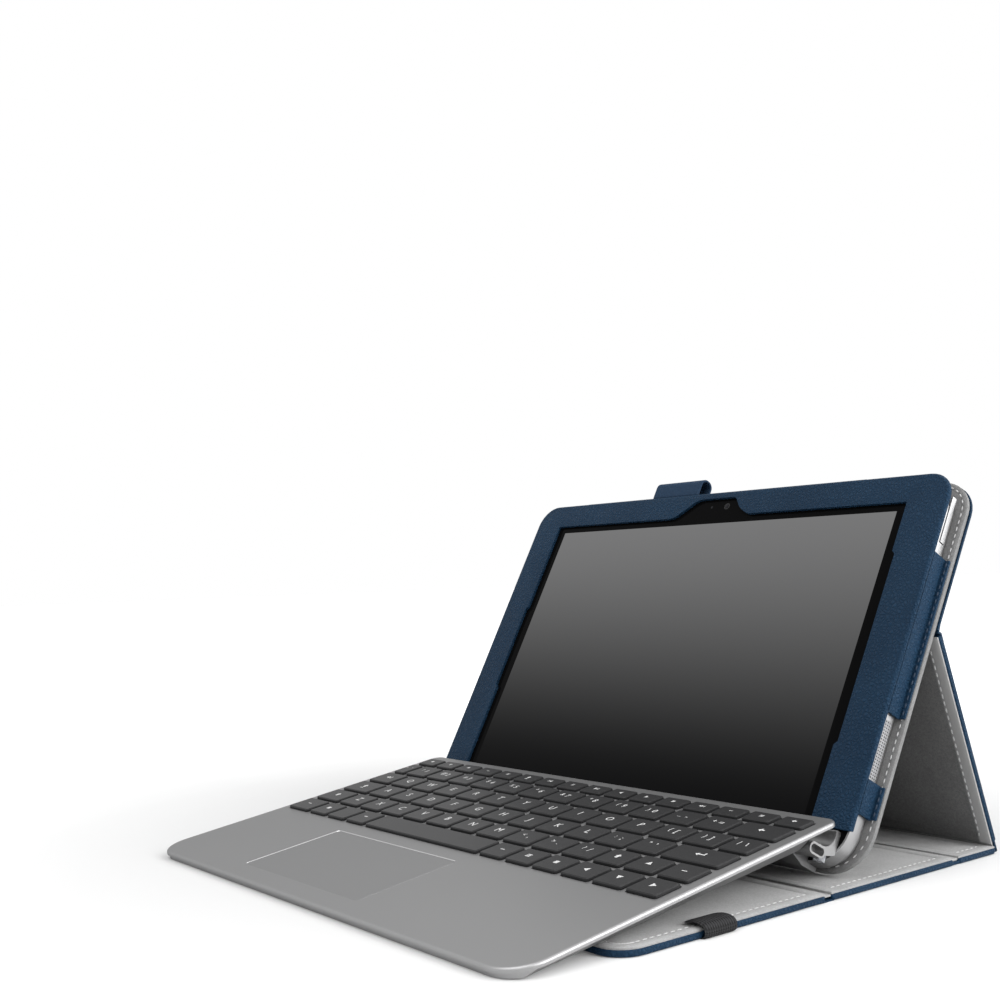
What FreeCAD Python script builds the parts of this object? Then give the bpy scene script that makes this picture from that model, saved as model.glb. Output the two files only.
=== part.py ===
import FreeCAD, Part
import math
import os
from FreeCAD import Vector

# Tablet keyboard case: a leather folio stands a tablet in a sewn pocket, docked in its keyboard.
# Millimetres and degrees. X is across, Y runs from the front to the back, Z is up.
# The origin is the middle of the base panel's underside, on the table.

# Tablet
TABLET_WIDTH = 263.0
TABLET_HEIGHT = 168.2
TABLET_THICK = 8.6
TABLET_CORNER = 15.0
TABLET_TILT = 61.0          # screen plane above the table
HOUSING_WALL = 1.4
HOUSING_BACK = 1.2
BACK_EDGE_ROUND = 2.6
GLASS_INSET = 0.9
GLASS_THICK = 0.8
DISPLAY_SIDE = 23.0         # tablet's side to the display
DISPLAY_END = 16.1          # tablet's lower and top edges to the display
DISPLAY_THICK = 1.3
INSIDE_MARGIN = 36.5        # tablet's side to the battery and main board
BATTERY_UP = 14.0           # battery above the tablet's lower edge
BATTERY_THICK = 4.2
BOARD_DOWN = 16.0           # main board below the tablet's top edge
BOARD_DEPTH = 40.0
BOARD_THICK = 1.2
BOARD_GAP = 6.0             # main board above the battery
SHIELD_SIZE = (46.0, 24.0, 1.4)
CAMERA_RADIUS = 2.2
CAMERA_DEPTH = 2.8
CAMERA_ACROSS = 8.0
CAMERA_DOWN = 6.0           # below the tablet's top edge
GRILLE_LOW = 37.5
GRILLE_LENGTH = 24.0
GRILLE_WIDTH = 4.0
GRILLE_THICK = 0.9
ROCKER_DOWN = 8.0           # volume rocker below the tablet's top edge
ROCKER_LENGTH = 21.0
BUTTON_LENGTH = 12.0
BUTTON_INBOARD = 21.5       # power button's outer end from the tablet's side
BUTTON_WIDTH = 2.6
BUTTON_DEPTH = 2.2
BUTTON_PROUD = 0.3
BUTTON_CLEAR = 0.35
CONNECTOR_SIZE = (30.0, 4.0, 3.0)

# Pocket that holds the tablet
FIT = 0.1                   # between parts laid on each other
POCKET_LEATHER = 1.2
POCKET_CORE = 0.4
SIDE_GAP = 0.2              # tablet's side to the leather wall
POCKET_WALL = 1.4
POCKET_CORNER = 12.0
COLUMN_FOOT = 15.0          # lower end of the leather columns
COLUMN_WIDTH = 19.6
TOP_BAR = 13.4
NOTCH_LEFT = (-25.0, -11.0)     # foot and top of the notch's slanted side
NOTCH_RIGHT = (13.5, 18.0, 24.0)
NOTCH_DEPTH = 9.8
NOTCH_STEP = 3.7
EAR_STEP = 1.5              # window widens by this between the steps
RIGHT_STEPS = (48.0, 36.6)  # above the plate's lower edge, below the pocket's top
LEFT_STEPS = (61.0, 62.6)
STRAP_ENDS = (64.0, 36.6)   # side strap, given the same way
TAB = (22.5, 36.5)
TOP_WALL_INBOARD = (37.1, 45.1)     # left and right ends from the pocket's sides
LOOP = (-47.0, -15.0)       # pen loop along the top edge
LOOP_HEIGHT = 10.5
LOOP_DEPTH = 8.0
LOOP_WALL = 1.0
LOOP_CORNER = 3.7
LOOP_FOOT_ROUND = 1.2

# Back plate behind the tablet
PLATE_MARGIN = 4.0          # back plate beyond the tablet's side
PLATE_TOP = 2.8             # and beyond its top
PLATE_BOARD = 2.0
PLATE_LINING = 0.8
PLATE_CORNER_LOW = 18.0
PLATE_CORNER_TOP = 15.0
TABLET_LIFT = 0.8           # tablet above the plate's lower edge
BACK_FOLD = 102.7           # stand crease above the plate's lower edge

# Cover strip: flap, base, spine and stand
COVER_MARGIN = 4.5          # cover beyond the tablet's side
LEATHER = 1.0
BOARD = 1.4
LINING = 0.8
RIM = 1.2                   # leather turned up round a board
BASE_DEPTH = 80.0
SPINE_DEPTH = 30.0
FLAP_DEPTH = 102.6
FLAP_CORNER = 11.0
CREASE = 4.0                # soft width at a crease
CREASE_LEATHER = 0.8
STAND_CREASE = 5.0          # soft width between the spine and the stand
STAND_GAP = 0.3             # stand behind the back plate when folded flat
FOOT_SETBACK = 21.2         # tablet's foot behind the flap crease
FOOT_GAP = 0.1
BAND_SETBACK = 58.5         # elastic band from the flap crease
BAND_WIDTH = 16.0
BAND_THICK = 1.1
BAND_REACH = 9.0
BAND_SUNK = 0.5

# Hinge between tablet and keyboard, seen in the tablet's plane
HINGE_UP = 11.7
HINGE_FORWARD = 6.65
HINGE_SETBACK = 4.0         # hinge axis ahead of the deck's rear edge
CLOSED_GAP = 3.0            # deck to pocket leather when the keyboard is shut
PIN_RADIUS = 1.2
PIN_CLEAR = 0.05
EAR_RADIUS = 2.6
EAR_WIDTH = 3.7
LUG_WIDTH = 4.0
LUG_GAP = 0.3
SWEEP_GAP = 0.3
CRADLE_INBOARD = 3.5        # cradle's end from the tablet's side
EAR_INBOARD = 10.0          # outer ear from the cradle's end
END_UP = 5.0                # underside of the cradle's ends at the tablet
ARM_HALF = 2.0
TUBE_HALF = 2.3             # oval tube at the cradle's front, half its height
TUBE_REACH = 4.7            # and half its length
TUBE_WALL = 0.8
TUBE_ROUND = 0.05           # straight part left between the tube's end rounds, halved
TUBE_BORE_DEPTH = 4.0
TUBE_UP = 3.6
TUBE_FORWARD = 8.6
LIP_UP = 14.0
LIP_THICK = 2.4
CRADLE_FLOOR = 2.1
CRADLE_REACH = 6.3          # floor under the tablet
BUMPER_RADIUS = 2.2
BUMPER_LOW = 1.0
BUMPER_FORWARD = 2.1
BUMPER_INBOARD = 3.4

# Keyboard
DECK_DEPTH = 156.0
DECK_PLATE = 1.2
DECK_SKIRT = 1.8
DECK_WALL = 1.2
DECK_LIP = 3.0              # thick rear band over the hinge
DECK_LIP_DEPTH = 7.0
DECK_CORNER_FRONT = 14.0
DECK_CORNER_REAR = 5.0
DECK_EDGE = 1.1             # round of the deck's upper edge
PARTING = 0.2
SHELL_INSET = 0.9
SHELL_REAR = 15.5           # bottom shell's rear wall from the deck's rear edge
SHELL_WALL = 1.0
SHELL_TAPER = 7.0           # sides of the shell draw in towards its underside
SHELL_SIDE_WALL = 1.6
FRONT_THICK = 3.6
REAR_THICK = 8.0
KEY_MARGIN = 4.1
ROW_UNITS = 14.0
FUNCTION_COUNT = 16
FUNCTION_SETBACK = 7.6      # function row from the deck's rear edge
FUNCTION_DEPTH = 8.6
ROW_PITCH = 15.0
KEY_GAP = 2.5
KEY_CLEAR = 0.4
KEY_CORNER = 1.0
KEY_CHAMFER = 0.4
KEY_PROUD = 1.3
KEY_SUNK = 1.0
KEY_TRAVEL = 1.2
KEY_PLATE_GAP = 0.2
KEY_PLATE = 0.6
CIRCUIT_SIZE = (120.0, 30.0, 1.0)
PAD_GAP = 9.0               # bottom key row to the trackpad
PAD_FRONT = 10.7            # trackpad to the deck's front edge
PAD_WIDTH = 89.0
PAD_OFFSET = -19.5
PAD_THICK = 1.2
PAD_SUNK = 0.2
PAD_CLEAR = 0.35
PAD_CORNER = 1.5
FOOT_RADIUS = 4.5
FOOT_INBOARD = 17.0
FRONT_FOOT_INBOARD = 8.0    # front feet from the deck's front edge
FRONT_FOOT_HEIGHT = 0.9
REAR_FOOT = 23.0            # rear feet from the deck's rear edge
REAR_FOOT_HEIGHT = 1.6
SCREW_RADIUS = 1.6
SCREW_HEIGHT = 0.6
SCREW_INBOARD = 30.0

# Sizes worked out from those above
COVER = LEATHER + BOARD + LINING
COVER_WIDTH = TABLET_WIDTH + 2 * COVER_MARGIN
SIDE = COVER_WIDTH / 2
TABLET_SIDE = TABLET_WIDTH / 2
POCKET_SIDE = TABLET_SIDE + SIDE_GAP + POCKET_WALL
TABLET_TOP = TABLET_LIFT + TABLET_HEIGHT
POCKET_TOP = TABLET_TOP + SIDE_GAP + POCKET_WALL
CORE_INSET = POCKET_WALL + FIT
STRAP = (STRAP_ENDS[0], POCKET_TOP - STRAP_ENDS[1])
ROCKER_LOW = TABLET_TOP - ROCKER_DOWN - ROCKER_LENGTH
SCREEN_FACE = -POCKET_LEATHER - POCKET_CORE - FIT
TABLET_BACK = SCREEN_FACE - TABLET_THICK
TABLET_MIDDLE = SCREEN_FACE - TABLET_THICK / 2
PLATE_FRONT = TABLET_BACK - FIT
PLATE_FACE = PLATE_FRONT - PLATE_LINING
PLATE_REAR = PLATE_FACE - PLATE_BOARD
LOOP_LOW = PLATE_FRONT + LEATHER + FIT
PLATE_SIDE = TABLET_SIDE + PLATE_MARGIN
PLATE_HEIGHT = TABLET_TOP + PLATE_TOP
FLAP_CREASE_Y = -BASE_DEPTH / 2
SPINE_CREASE_Y = BASE_DEPTH / 2
REAR_Y = SPINE_CREASE_Y + SPINE_DEPTH
HINGE_DROP = HINGE_FORWARD - CLOSED_GAP
CRADLE_SIDE = TABLET_SIDE - CRADLE_INBOARD
DECK_WIDTH = TABLET_WIDTH
DECK_SIDE = DECK_WIDTH / 2
KEY_PITCH = (DECK_WIDTH - 2 * KEY_MARGIN) / ROW_UNITS
KEY_DEPTH = ROW_PITCH - KEY_GAP
FIRST_ROW = FUNCTION_SETBACK + FUNCTION_DEPTH + KEY_GAP
KEYS_FRONT = FIRST_ROW + 5 * ROW_PITCH - KEY_GAP
KEY_PLATE_TOP = -KEY_SUNK - KEY_TRAVEL - KEY_PLATE_GAP
FRONT_FOOT = DECK_DEPTH - FRONT_FOOT_INBOARD


def turned(across, up, angle):
    """A point of a side view, turned about the X axis."""
    sine = math.sin(math.radians(angle))
    cosine = math.cos(math.radians(angle))
    return across * cosine - up * sine, across * sine + up * cosine


# Places of the tablet, keyboard and stand in the side view
FRAME_Z = COVER + FOOT_GAP - PLATE_REAR * math.cos(math.radians(TABLET_TILT))
FRAME_Y = FLAP_CREASE_Y + FOOT_SETBACK + PLATE_REAR * math.sin(math.radians(TABLET_TILT))


def tablet_point(up, forward):
    """Side view place of a point given along and in front of the pocket's face."""
    y, z = turned(up, forward, TABLET_TILT)
    return FRAME_Y + y, FRAME_Z + z


HINGE_Y, HINGE_Z = tablet_point(HINGE_UP, HINGE_FORWARD)
FOLD_Y, FOLD_Z = tablet_point(BACK_FOLD, PLATE_REAR)


def shell_bottom(setback):
    """Depth of the bottom shell's underside below the deck, from the deck's rear edge."""
    share = (setback - SHELL_REAR) / (DECK_DEPTH - SHELL_REAR)
    return REAR_THICK + (FRONT_THICK - REAR_THICK) * share


FOOT_AHEAD = FRONT_FOOT - HINGE_SETBACK
FOOT_BELOW = shell_bottom(FRONT_FOOT) + FRONT_FOOT_HEIGHT - HINGE_DROP
DECK_SLOPE = math.degrees(math.asin(HINGE_Z / math.hypot(FOOT_AHEAD, FOOT_BELOW))
                          - math.atan2(FOOT_BELOW, FOOT_AHEAD))

STAND_LEATHER_MIDDLE = STAND_GAP + LINING + BOARD + LEATHER / 2
STAND_PIVOT_Z = LEATHER / 2
STAND_SPAN = math.hypot(REAR_Y - FOLD_Y, FOLD_Z - STAND_PIVOT_Z)
STAND_LENGTH = math.sqrt(STAND_SPAN ** 2 - STAND_LEATHER_MIDDLE ** 2)
STAND_ANGLE = math.degrees(math.atan2(FOLD_Z - STAND_PIVOT_Z, REAR_Y - FOLD_Y)
                           + math.atan2(STAND_LEATHER_MIDDLE, STAND_LENGTH))


def stand_point(down, out):
    """Side view place of a point given down the stand from its fold and out from the fold line."""
    y, z = turned(down, out, -STAND_ANGLE)
    return FOLD_Y + y, FOLD_Z + z


# Shape helpers


def outline(points, radii):
    """Closed wire through flat points, with a radius at each corner."""
    starts = []
    arcs = []
    ends = []
    count = len(points)
    for index, radius in enumerate(radii):
        corner = Vector(*points[index], 0)
        before = Vector(*points[index - 1], 0).sub(corner).normalize()
        after = Vector(*points[(index + 1) % count], 0).sub(corner).normalize()
        if radius == 0:
            starts.append(corner)
            ends.append(corner)
            arcs.append(None)
            continue
        half = before.getAngle(after) / 2
        reach = radius / math.tan(half)
        start = corner + before * reach
        end = corner + after * reach
        bisector = (before + after).normalize()
        middle = corner + bisector * (radius / math.sin(half) - radius)
        starts.append(start)
        ends.append(end)
        arcs.append(Part.Arc(start, middle, end).toShape())
    edges = []
    for index in range(count):
        if arcs[index]:
            edges.append(arcs[index])
        here = ends[index]
        there = starts[(index + 1) % count]
        if here.distanceToPoint(there) > 1e-6:
            edges.append(Part.LineSegment(here, there).toShape())
    return Part.Wire(edges)


def slab(points, radii, bottom, top):
    """Flat plate between two heights."""
    shape = Part.Face(outline(points, radii)).extrude(Vector(0, 0, top - bottom))
    shape.translate(Vector(0, 0, bottom))
    return shape


def plate(left, right, front, back, bottom, top, radii=(0, 0, 0, 0)):
    """Rectangular plate; radii go front left, front right, back right, back left."""
    points = [(left, front), (right, front), (right, back), (left, back)]
    return slab(points, radii, bottom, top)


def bar(points, radii, left, right):
    """Side view outline (Y, Z) drawn out along X."""
    shape = Part.Face(outline(points, radii)).extrude(Vector(0, 0, right - left))
    shape.rotate(Vector(0, 0, 0), Vector(1, 1, 1), 120)
    shape.translate(Vector(left, 0, 0))
    return shape


def rod(radius, left, right, y, z):
    """Round bar along X."""
    return Part.makeCylinder(radius, right - left, Vector(left, y, z), Vector(1, 0, 0))


def disc(radius, x, y, bottom, top):
    """Upright round."""
    return Part.makeCylinder(radius, top - bottom, Vector(x, y, bottom), Vector(0, 0, 1))


def mirrored(shape):
    """Copy on the other side of the middle."""
    return shape.mirror(Vector(0, 0, 0), Vector(1, 0, 0))


def both_sides(shape):
    """The shape and its mirror image."""
    return [shape, mirrored(shape)]


def joined(shapes):
    """One solid from touching shapes."""
    return shapes[0].multiFuse(shapes[1:]).removeSplitter()


def placed(shape, angle, y, z):
    """Turned about X and moved to its place in the side view."""
    shape.rotate(Vector(0, 0, 0), Vector(1, 0, 0), angle)
    shape.translate(Vector(0, y, z))
    return shape


def on_tablet(shape):
    return placed(shape, TABLET_TILT, FRAME_Y, FRAME_Z)


def on_keyboard(shape):
    return placed(shape, DECK_SLOPE, HINGE_Y, HINGE_Z)


def on_stand(shape):
    return placed(shape, -STAND_ANGLE, FOLD_Y, FOLD_Z)


# Cover panels


def panel_leather(front, back, bottom, rims):
    """Leather sheet with its side edges turned up round the boards."""
    sheet = plate(-SIDE, SIDE, front, back, bottom, bottom + LEATHER)
    pieces = [sheet]
    for rim_front, rim_back in rims:
        rim = plate(SIDE - RIM, SIDE, rim_front, rim_back, bottom + LEATHER, bottom + LEATHER + BOARD)
        pieces += both_sides(rim)
    return joined(pieces)


def panel_board(front, back, bottom):
    inner = SIDE - RIM - FIT
    return plate(-inner, inner, front + FIT, back - FIT, bottom, bottom + BOARD)


def base_cover():
    front = FLAP_CREASE_Y + CREASE / 2
    crease_front = SPINE_CREASE_Y - CREASE / 2
    crease_back = SPINE_CREASE_Y + CREASE / 2
    back = REAR_Y - CREASE / 2
    lining = plate(-SIDE, SIDE, front, back, LEATHER + BOARD, COVER)
    groove = plate(-SIDE, SIDE, crease_front, crease_back, COVER - LINING / 2, COVER)
    return {
        "base_leather": panel_leather(front, back, 0, [(front, crease_front), (crease_back, back)]),
        "base_board": panel_board(front, crease_front, LEATHER),
        "spine_board": panel_board(crease_back, back, LEATHER),
        "base_lining": lining.cut(groove),
    }


def flap_plate(inset, back, bottom, top):
    """Flap outline with its rounded front corners, drawn in by inset."""
    front = FLAP_CREASE_Y - FLAP_DEPTH + inset
    corner = FLAP_CORNER - inset
    side = SIDE - inset
    return plate(-side, side, front, back, bottom, top, (corner, corner, 0, 0))


def front_flap():
    back = FLAP_CREASE_Y - CREASE / 2
    board_top = LEATHER + BOARD
    tray = flap_plate(0, back, 0, board_top)
    tray = tray.cut(flap_plate(RIM, back, LEATHER, board_top))
    band_front = FLAP_CREASE_Y - BAND_SETBACK - BAND_WIDTH / 2
    band_back = band_front + BAND_WIDTH
    recess = plate(SIDE - BAND_REACH, SIDE, band_front, band_back, 0, BAND_SUNK)
    band = plate(SIDE - BAND_REACH, SIDE + BAND_THICK, band_front, band_back, 0, COVER + BAND_THICK)
    band = band.cut(plate(SIDE - BAND_REACH, SIDE, band_front, band_back, BAND_SUNK, COVER))
    return {
        "flap_leather": tray.cut(recess),
        "flap_board": flap_plate(RIM + FIT, back - FIT, LEATHER, board_top),
        "flap_lining": flap_plate(0, back, board_top, COVER),
        "elastic_band": band,
    }


def stand_panel():
    """The panel lies flat here, running from its fold to its foot, leather side up."""
    start = CREASE / 2
    end = STAND_LENGTH - STAND_CREASE
    lining_top = STAND_GAP + LINING
    board_top = lining_top + BOARD
    leather = plate(-SIDE, SIDE, start, end, board_top, board_top + LEATHER)
    rim = plate(SIDE - RIM, SIDE, start, end, lining_top, board_top)
    return {
        "stand_leather": on_stand(joined([leather] + both_sides(rim))),
        "stand_board": on_stand(panel_board(start, end, lining_top)),
        "stand_lining": on_stand(plate(-SIDE, SIDE, start, end, STAND_GAP, lining_top)),
    }


def creases():
    """Soft leather between panels, bent as it is with the case standing."""
    half = CREASE_LEATHER / 2
    middle = LEATHER / 2
    flap = plate(-SIDE, SIDE, FLAP_CREASE_Y - CREASE / 2, FLAP_CREASE_Y + CREASE / 2,
                 middle - half, middle + half)
    flat = plate(-SIDE, SIDE, REAR_Y - CREASE / 2, REAR_Y, middle - half, middle + half)
    upright = plate(-SIDE, SIDE, STAND_LENGTH - STAND_CREASE, STAND_LENGTH,
                    STAND_LEATHER_MIDDLE - half, STAND_LEATHER_MIDDLE + half)
    bend = rod(half, -SIDE, SIDE, REAR_Y, STAND_PIVOT_Z)
    plate_end = BACK_FOLD + CREASE / 2
    back_points = [
        tablet_point(plate_end, PLATE_REAR - middle + half),
        tablet_point(plate_end, PLATE_REAR - middle - half),
        stand_point(CREASE / 2, STAND_LEATHER_MIDDLE + half),
        stand_point(CREASE / 2, STAND_LEATHER_MIDDLE - half),
    ]
    return {
        "flap_crease": flap,
        "stand_crease": joined([flat, on_stand(upright), bend]),
        "back_crease": bar(back_points, (0, 0, 0, 0), -SIDE, SIDE),
    }


# Pocket round the tablet


def back_plate():
    low = PLATE_CORNER_LOW
    top = PLATE_CORNER_TOP
    radii = (low, low, top, top)
    lining = plate(-PLATE_SIDE, PLATE_SIDE, 0, PLATE_HEIGHT, PLATE_FACE, PLATE_FRONT, radii)
    board = plate(-PLATE_SIDE, PLATE_SIDE, 0, PLATE_HEIGHT, PLATE_REAR, PLATE_FACE, radii)
    leather = plate(-SIDE, SIDE, BACK_FOLD + CREASE / 2, PLATE_HEIGHT, PLATE_REAR - LEATHER, PLATE_REAR,
                    (0, 0, top, top))
    return {
        "back_lining": on_tablet(lining),
        "back_board": on_tablet(board),
        "upper_back_leather": on_tablet(leather),
    }


def pocket_frame(inset, bottom, top):
    """Leather frame open at the foot, with the window's steps and the camera notch."""
    side = POCKET_SIDE - inset
    window = POCKET_SIDE - COLUMN_WIDTH + inset
    window_top = POCKET_TOP - TOP_BAR + inset
    notch_top = window_top + NOTCH_DEPTH - inset / 2
    foot = COLUMN_FOOT + inset
    corner = POCKET_CORNER - inset
    wide = window + EAR_STEP
    left_high = POCKET_TOP - LEFT_STEPS[1]
    right_high = POCKET_TOP - RIGHT_STEPS[1]
    points = [
        (-side, foot), (-window, foot),
        (-window, LEFT_STEPS[0]), (-wide, LEFT_STEPS[0] + EAR_STEP),
        (-wide, left_high - EAR_STEP), (-window, left_high),
        (-window, window_top), (NOTCH_LEFT[0] - inset, window_top), (NOTCH_LEFT[1] - inset, notch_top),
        (NOTCH_RIGHT[0] + inset, notch_top), (NOTCH_RIGHT[1] + inset, window_top + NOTCH_STEP),
        (NOTCH_RIGHT[2] + inset, window_top), (window, window_top),
        (window, right_high), (wide, right_high - EAR_STEP),
        (wide, RIGHT_STEPS[0] + EAR_STEP), (window, RIGHT_STEPS[0]),
        (window, foot), (side, foot), (side, POCKET_TOP - inset), (-side, POCKET_TOP - inset),
    ]
    radii = [0] * (len(points) - 2) + [corner, corner]
    return slab(points, radii, bottom, top)


def pocket_front():
    pieces = [pocket_frame(0, -POCKET_LEATHER, 0)]
    inner = POCKET_SIDE - POCKET_WALL
    flange_top = PLATE_FRONT + LEATHER
    for low, high in (STRAP, TAB):
        pieces += both_sides(plate(inner, POCKET_SIDE, low, high, PLATE_FRONT, -POCKET_LEATHER))
        pieces += both_sides(plate(inner, PLATE_SIDE, low, high, PLATE_FRONT, flange_top))
    wall_low = POCKET_TOP - POCKET_WALL
    left = -POCKET_SIDE + TOP_WALL_INBOARD[0]
    right = POCKET_SIDE - TOP_WALL_INBOARD[1]
    pieces.append(plate(left, right, wall_low, POCKET_TOP, PLATE_FRONT, -POCKET_LEATHER))
    pieces.append(plate(left, right, wall_low, PLATE_HEIGHT, PLATE_FRONT, flange_top))
    return {
        "pocket_front": on_tablet(joined(pieces)),
        "pocket_core": on_tablet(pocket_frame(CORE_INSET, SCREEN_FACE + FIT, -POCKET_LEATHER)),
    }


def pen_loop():
    low = LOOP_LOW
    high = LOOP_LOW + LOOP_DEPTH
    top = POCKET_TOP + LOOP_HEIGHT
    points = [(POCKET_TOP, low), (top, low), (top, high), (POCKET_TOP, high)]
    radii = (LOOP_FOOT_ROUND, LOOP_CORNER, LOOP_CORNER, LOOP_FOOT_ROUND)
    outer = bar(points, radii, *LOOP)
    wall = LOOP_WALL
    points = [(POCKET_TOP + wall, low + wall), (top - wall, low + wall),
              (top - wall, high - wall), (POCKET_TOP + wall, high - wall)]
    inner_round = LOOP_CORNER - wall
    radii = (LOOP_FOOT_ROUND, inner_round, inner_round, LOOP_FOOT_ROUND)
    return {"pen_loop": on_tablet(outer.cut(bar(points, radii, *LOOP)))}


# Tablet


def tablet_plate(inset, bottom, top):
    """Tablet outline drawn in by inset."""
    side = TABLET_SIDE - inset
    corner = TABLET_CORNER - inset
    return plate(-side, side, TABLET_LIFT + inset, TABLET_TOP - inset, bottom, top, (corner,) * 4)


def rocker_box(clear):
    """Volume rocker in the right side wall, or its slot."""
    half = BUTTON_WIDTH / 2 + clear
    left = TABLET_SIDE + BUTTON_PROUD - BUTTON_DEPTH - clear
    return plate(left, TABLET_SIDE + BUTTON_PROUD, ROCKER_LOW - clear, ROCKER_LOW + ROCKER_LENGTH + clear,
                 TABLET_MIDDLE - half, TABLET_MIDDLE + half)


def power_box(clear):
    """Power button in the top wall, or its slot."""
    half = BUTTON_WIDTH / 2 + clear
    left = -TABLET_SIDE + BUTTON_INBOARD
    low = TABLET_TOP + BUTTON_PROUD - BUTTON_DEPTH - clear
    return plate(left - clear, left + BUTTON_LENGTH + clear, low, TABLET_TOP + BUTTON_PROUD,
                 TABLET_MIDDLE - half, TABLET_MIDDLE + half)


def grille(clear):
    """Speaker grille let into the right side wall, or its recess."""
    half = GRILLE_WIDTH / 2 + clear
    return plate(TABLET_SIDE - GRILLE_THICK - clear, TABLET_SIDE, GRILLE_LOW - clear,
                 GRILLE_LOW + GRILLE_LENGTH + clear, TABLET_MIDDLE - half, TABLET_MIDDLE + half)


def connector(clear):
    """Dock connector in the lower edge, or its slot."""
    width, depth, height = CONNECTOR_SIZE
    side = width / 2 + clear
    half = height / 2 + clear
    return plate(-side, side, TABLET_LIFT, TABLET_LIFT + depth + clear,
                 TABLET_MIDDLE - half, TABLET_MIDDLE + half)


def housing():
    shell = tablet_plate(0, TABLET_BACK, SCREEN_FACE)
    back_edges = [edge for edge in shell.Edges if edge.BoundBox.ZMax < TABLET_BACK + FIT]
    shell = shell.makeFillet(BACK_EDGE_ROUND, back_edges)
    shell = shell.cut(tablet_plate(HOUSING_WALL, TABLET_BACK + HOUSING_BACK, SCREEN_FACE))
    shell = shell.cut(tablet_plate(GLASS_INSET - FIT, SCREEN_FACE - GLASS_THICK - FIT, SCREEN_FACE))
    slots = both_sides(grille(FIT)) + [rocker_box(BUTTON_CLEAR), power_box(BUTTON_CLEAR), connector(FIT)]
    return shell.cut(slots)


def main_board(floor):
    """Circuit board with two shielded chips, lying on the housing's floor."""
    side = TABLET_SIDE - INSIDE_MARGIN
    high = TABLET_TOP - BOARD_DOWN
    top = floor + BOARD_THICK
    board = plate(-side, side, high - BOARD_DEPTH, high, floor, top)
    can_wide, can_deep, can_high = SHIELD_SIZE
    can_low = high - (BOARD_DEPTH + can_deep) / 2
    can = plate((side - can_wide) / 2, (side + can_wide) / 2, can_low, can_low + can_deep,
                top, top + can_high)
    return joined([board] + both_sides(can))


def tablet():
    glass_back = SCREEN_FACE - GLASS_THICK
    display_back = glass_back - DISPLAY_THICK
    floor = TABLET_BACK + HOUSING_BACK
    display_side = TABLET_SIDE - DISPLAY_SIDE
    display = plate(-display_side, display_side, TABLET_LIFT + DISPLAY_END, TABLET_TOP - DISPLAY_END,
                    display_back, glass_back)
    battery_side = TABLET_SIDE - INSIDE_MARGIN
    battery_top = TABLET_TOP - BOARD_DOWN - BOARD_DEPTH - BOARD_GAP
    battery = plate(-battery_side, battery_side, TABLET_LIFT + BATTERY_UP, battery_top,
                    floor, floor + BATTERY_THICK)
    camera = disc(CAMERA_RADIUS, CAMERA_ACROSS, TABLET_TOP - CAMERA_DOWN,
                  glass_back - CAMERA_DEPTH, glass_back)
    return {
        "tablet_housing": on_tablet(housing()),
        "screen_glass": on_tablet(tablet_plate(GLASS_INSET, glass_back, SCREEN_FACE)),
        "display_panel": on_tablet(display),
        "battery": on_tablet(battery),
        "main_board": on_tablet(main_board(floor)),
        "front_camera": on_tablet(camera),
        "speaker_grilles": on_tablet(Part.makeCompound(both_sides(grille(0)))),
        "dock_connector": on_tablet(connector(0)),
        "volume_rocker": on_tablet(rocker_box(0)),
        "power_button": on_tablet(power_box(0)),
    }


# Hinge


def hinge_spans():
    """Ends along X of the outer ear, the keyboard's lug and the inner ear on the right side."""
    outer = (CRADLE_SIDE - EAR_INBOARD - EAR_WIDTH, CRADLE_SIDE - EAR_INBOARD)
    lug = (outer[0] - LUG_GAP - LUG_WIDTH, outer[0] - LUG_GAP)
    inner = (lug[0] - LUG_GAP - EAR_WIDTH, lug[0] - LUG_GAP)
    return outer, lug, inner


def hinge_ear(left, right):
    """Round ear at the hinge axis, on an arm down to the cradle's tube."""
    across = TUBE_FORWARD - HINGE_FORWARD
    down = TUBE_UP - HINGE_UP
    length = math.hypot(across, down)
    side_up = across / length * ARM_HALF
    side_forward = -down / length * ARM_HALF
    points = [
        (HINGE_UP + side_up, HINGE_FORWARD + side_forward),
        (HINGE_UP - side_up, HINGE_FORWARD - side_forward),
        (TUBE_UP - side_up, TUBE_FORWARD - side_forward),
        (TUBE_UP + side_up, TUBE_FORWARD + side_forward),
    ]
    arm = bar(points, (0, 0, 0, 0), left, right)
    ring = rod(EAR_RADIUS, left, right, HINGE_UP, HINGE_FORWARD)
    return joined([ring, arm])


def oval(drawn_in, left, right):
    """Oval bar along the cradle's front, drawn in all round."""
    up, reach = TUBE_HALF - drawn_in, TUBE_REACH - drawn_in
    points = [
        (TUBE_UP - up, TUBE_FORWARD - reach), (TUBE_UP + up, TUBE_FORWARD - reach),
        (TUBE_UP + up, TUBE_FORWARD + reach), (TUBE_UP - up, TUBE_FORWARD + reach),
    ]
    return bar(points, (up - TUBE_ROUND,) * 4, left, right)


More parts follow.
